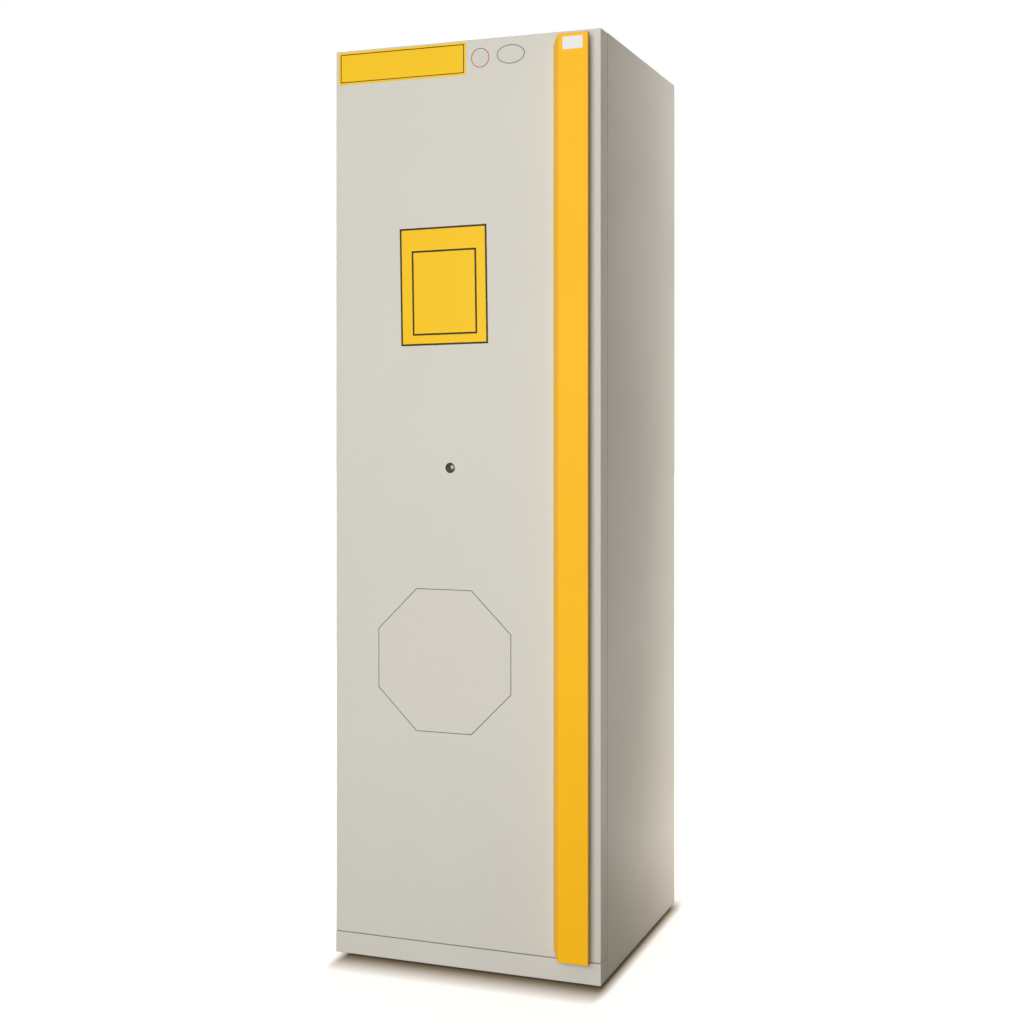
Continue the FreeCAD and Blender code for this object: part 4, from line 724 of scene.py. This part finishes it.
def makeFloor():
    stage = {"side": 60.0, "tone": (0.300, 0.245, 0.170), "sidePull": 4.0, "nearFrom": 0.010,
             "nearTo": 0.100, "nearGlow": 0.86, "farTo": 1.2, "farGlow": 0.24, "leftInset": 0.030,
             "rearInset": 0.050, "paintedShadowTone": (1.0, 0.955, 0.885), "plain": (1.0, 1.0, 1.0)}
    shape = bmesh.new()
    bmesh.ops.create_grid(shape, x_segments=1, y_segments=1, size=stage["side"] / 2)
    mesh = bpy.data.meshes.new("floor")
    shape.to_mesh(mesh)
    shape.free()
    floor = bpy.data.objects.new("floor", mesh)
    bpy.context.scene.collection.objects.link(floor)
    material = bpy.data.materials.new("paleFloor")
    material.use_nodes = True
    tree, links = material.node_tree.nodes, material.node_tree.links
    tree.clear()
    diffuse = tree.new("ShaderNodeBsdfDiffuse")
    diffuse.inputs["Color"].default_value = (*stage["tone"], 1.0)

    # the camera-only pale glow fades towards the cabinet's footprint, which paints a soft shadow round its
    # foot; the diffuse floor's own shadow stays under it
    place = tree.new("ShaderNodeSeparateXYZ")
    links.new(objectCoords(tree), place.inputs[0])
    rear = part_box("outer_back")[1]
    beyond = []
    for axis, low, high, pull in (("X", doorLow.x + stage["leftInset"], doorHigh.x, stage["sidePull"]),
                                  ("Y", doorLow.y, rear.y - stage["rearInset"], 1.0)):
        offset = mathNode(tree, links, "SUBTRACT", place.outputs[axis], (low + high) / 2)
        away = mathNode(tree, links, "ABSOLUTE", offset)
        reach = mathNode(tree, links, "SUBTRACT", away, (high - low) / 2)
        reach = mathNode(tree, links, "MULTIPLY", mathNode(tree, links, "MAXIMUM", reach, 0.0), pull)
        beyond.append(mathNode(tree, links, "MULTIPLY", reach, reach))
    distance = mathNode(tree, links, "SQRT", mathNode(tree, links, "ADD", *beyond))
    near = rangeNode(tree, links, distance, stage["nearFrom"], stage["nearTo"], 0.0, stage["nearGlow"])
    far = rangeNode(tree, links, distance, stage["nearTo"], stage["farTo"], 0.0, stage["farGlow"])
    seen = seenDirectly(tree, links)
    glow = tree.new("ShaderNodeEmission")
    # near the footprint the glow turns warm: a painted warm tint in that painted shadow
    shadowTintFade = rangeNode(tree, links, distance, stage["nearFrom"], stage["nearTo"])
    links.new(blendNode(tree, links, shadowTintFade, stage["paintedShadowTone"], stage["plain"]), glow.inputs["Color"])
    links.new(mathNode(tree, links, "MULTIPLY", seen, mathNode(tree, links, "ADD", near, far)),
              glow.inputs["Strength"])
    both = tree.new("ShaderNodeAddShader")
    links.new(diffuse.outputs[0], both.inputs[0])
    links.new(glow.outputs[0], both.inputs[1])
    links.new(both.outputs[0], tree.new("ShaderNodeOutputMaterial").inputs["Surface"])
    mesh.materials.append(material)


def makeWorld():
    # the studio is darker to the right
    sky = {"open": (0.52, 0.52, 0.515), "shaded": (0.060, 0.045, 0.022), "openTo": -0.35,
           "shadedFrom": 0.55}
    world = bpy.data.worlds.new("studio")
    bpy.context.scene.world = world
    world.use_nodes = True
    tree, links = world.node_tree.nodes, world.node_tree.links
    tree.clear()
    way = tree.new("ShaderNodeSeparateXYZ")
    links.new(tree.new("ShaderNodeTexCoord").outputs["Generated"], way.inputs[0])
    light = tree.new("ShaderNodeBackground")
    across = rangeNode(tree, links, way.outputs["X"], sky["openTo"], sky["shadedFrom"])
    links.new(blendNode(tree, links, across, sky["open"], sky["shaded"]), light.inputs["Color"])
    seen = tree.new("ShaderNodeBackground")
    seen.inputs["Color"].default_value = (1.0, 1.0, 1.0, 1.0)
    seen.inputs["Strength"].default_value = 1.0
    mix = tree.new("ShaderNodeMixShader")
    links.new(seenDirectly(tree, links), mix.inputs[0])
    links.new(light.outputs[0], mix.inputs[1])
    links.new(seen.outputs[0], mix.inputs[2])
    links.new(mix.outputs[0], tree.new("ShaderNodeOutputWorld").inputs["Surface"])


def makeLamp(name, place, target, size, energy, colour):
    data = bpy.data.lights.new(name, "AREA")
    data.shape = "RECTANGLE"
    data.size, data.size_y = size
    data.energy = energy
    data.color = colour
    lamp = bpy.data.objects.new(name, data)
    lamp.visible_camera = False
    lamp.location = place
    lamp.rotation_euler = (Vector(target) - Vector(place)).to_track_quat("-Z", "Y").to_euler()
    bpy.context.scene.collection.objects.link(lamp)


# place, what it points at, width and height, power, colour
lamps = {
    "keyLamp": ((0.40, -5.2, 1.75), (0.0, -0.3, 1.1), (3.0, 2.9), 192.0, (1.0, 0.998, 0.990)),
    "sideLamp": ((0.54, 0.70, 1.25), (0.3, 0.08, 1.25), (0.2, 3.6), 10.1, (1.0, 0.925, 0.870)),
    "rearLamp": ((-2.6, 3.2, 2.2), (0.0, 0.1, 1.0), (2.4, 2.4), 90.0, (1.0, 0.998, 0.990)),
    "lowLamp": ((0.58, 0.42, 0.07), (0.3, 0.06, 0.06), (0.24, 0.16), 0.38, (1.0, 0.925, 0.860)),
}


def makeCamera():
    view = {"x": 1.2389, "yFromDoor": -3.0320, "z": 1.1506, "yaw": 20.477, "focalPixels": 1562.6,
            "horizon": 421.50, "frameSide": 1024, "sensor": 36.0}
    data = bpy.data.cameras.new("camera")
    data.sensor_width = view["sensor"]
    data.lens = view["focalPixels"] / view["frameSide"] * view["sensor"]
    data.shift_y = (view["horizon"] - view["frameSide"] / 2) / view["frameSide"]
    camera = bpy.data.objects.new("camera", data)
    camera.location = (view["x"], doorLow.y + view["yFromDoor"], view["z"])
    camera.rotation_euler = (math.radians(90), 0.0, math.radians(view["yaw"]))
    bpy.context.scene.collection.objects.link(camera)
    bpy.context.scene.camera = camera


makeFloor()
makeWorld()
for lampName, values in lamps.items():
    makeLamp(lampName, *values)
makeCamera()
bpy.context.scene.view_settings.view_transform = "Standard"
print("stage, lamps and camera set")
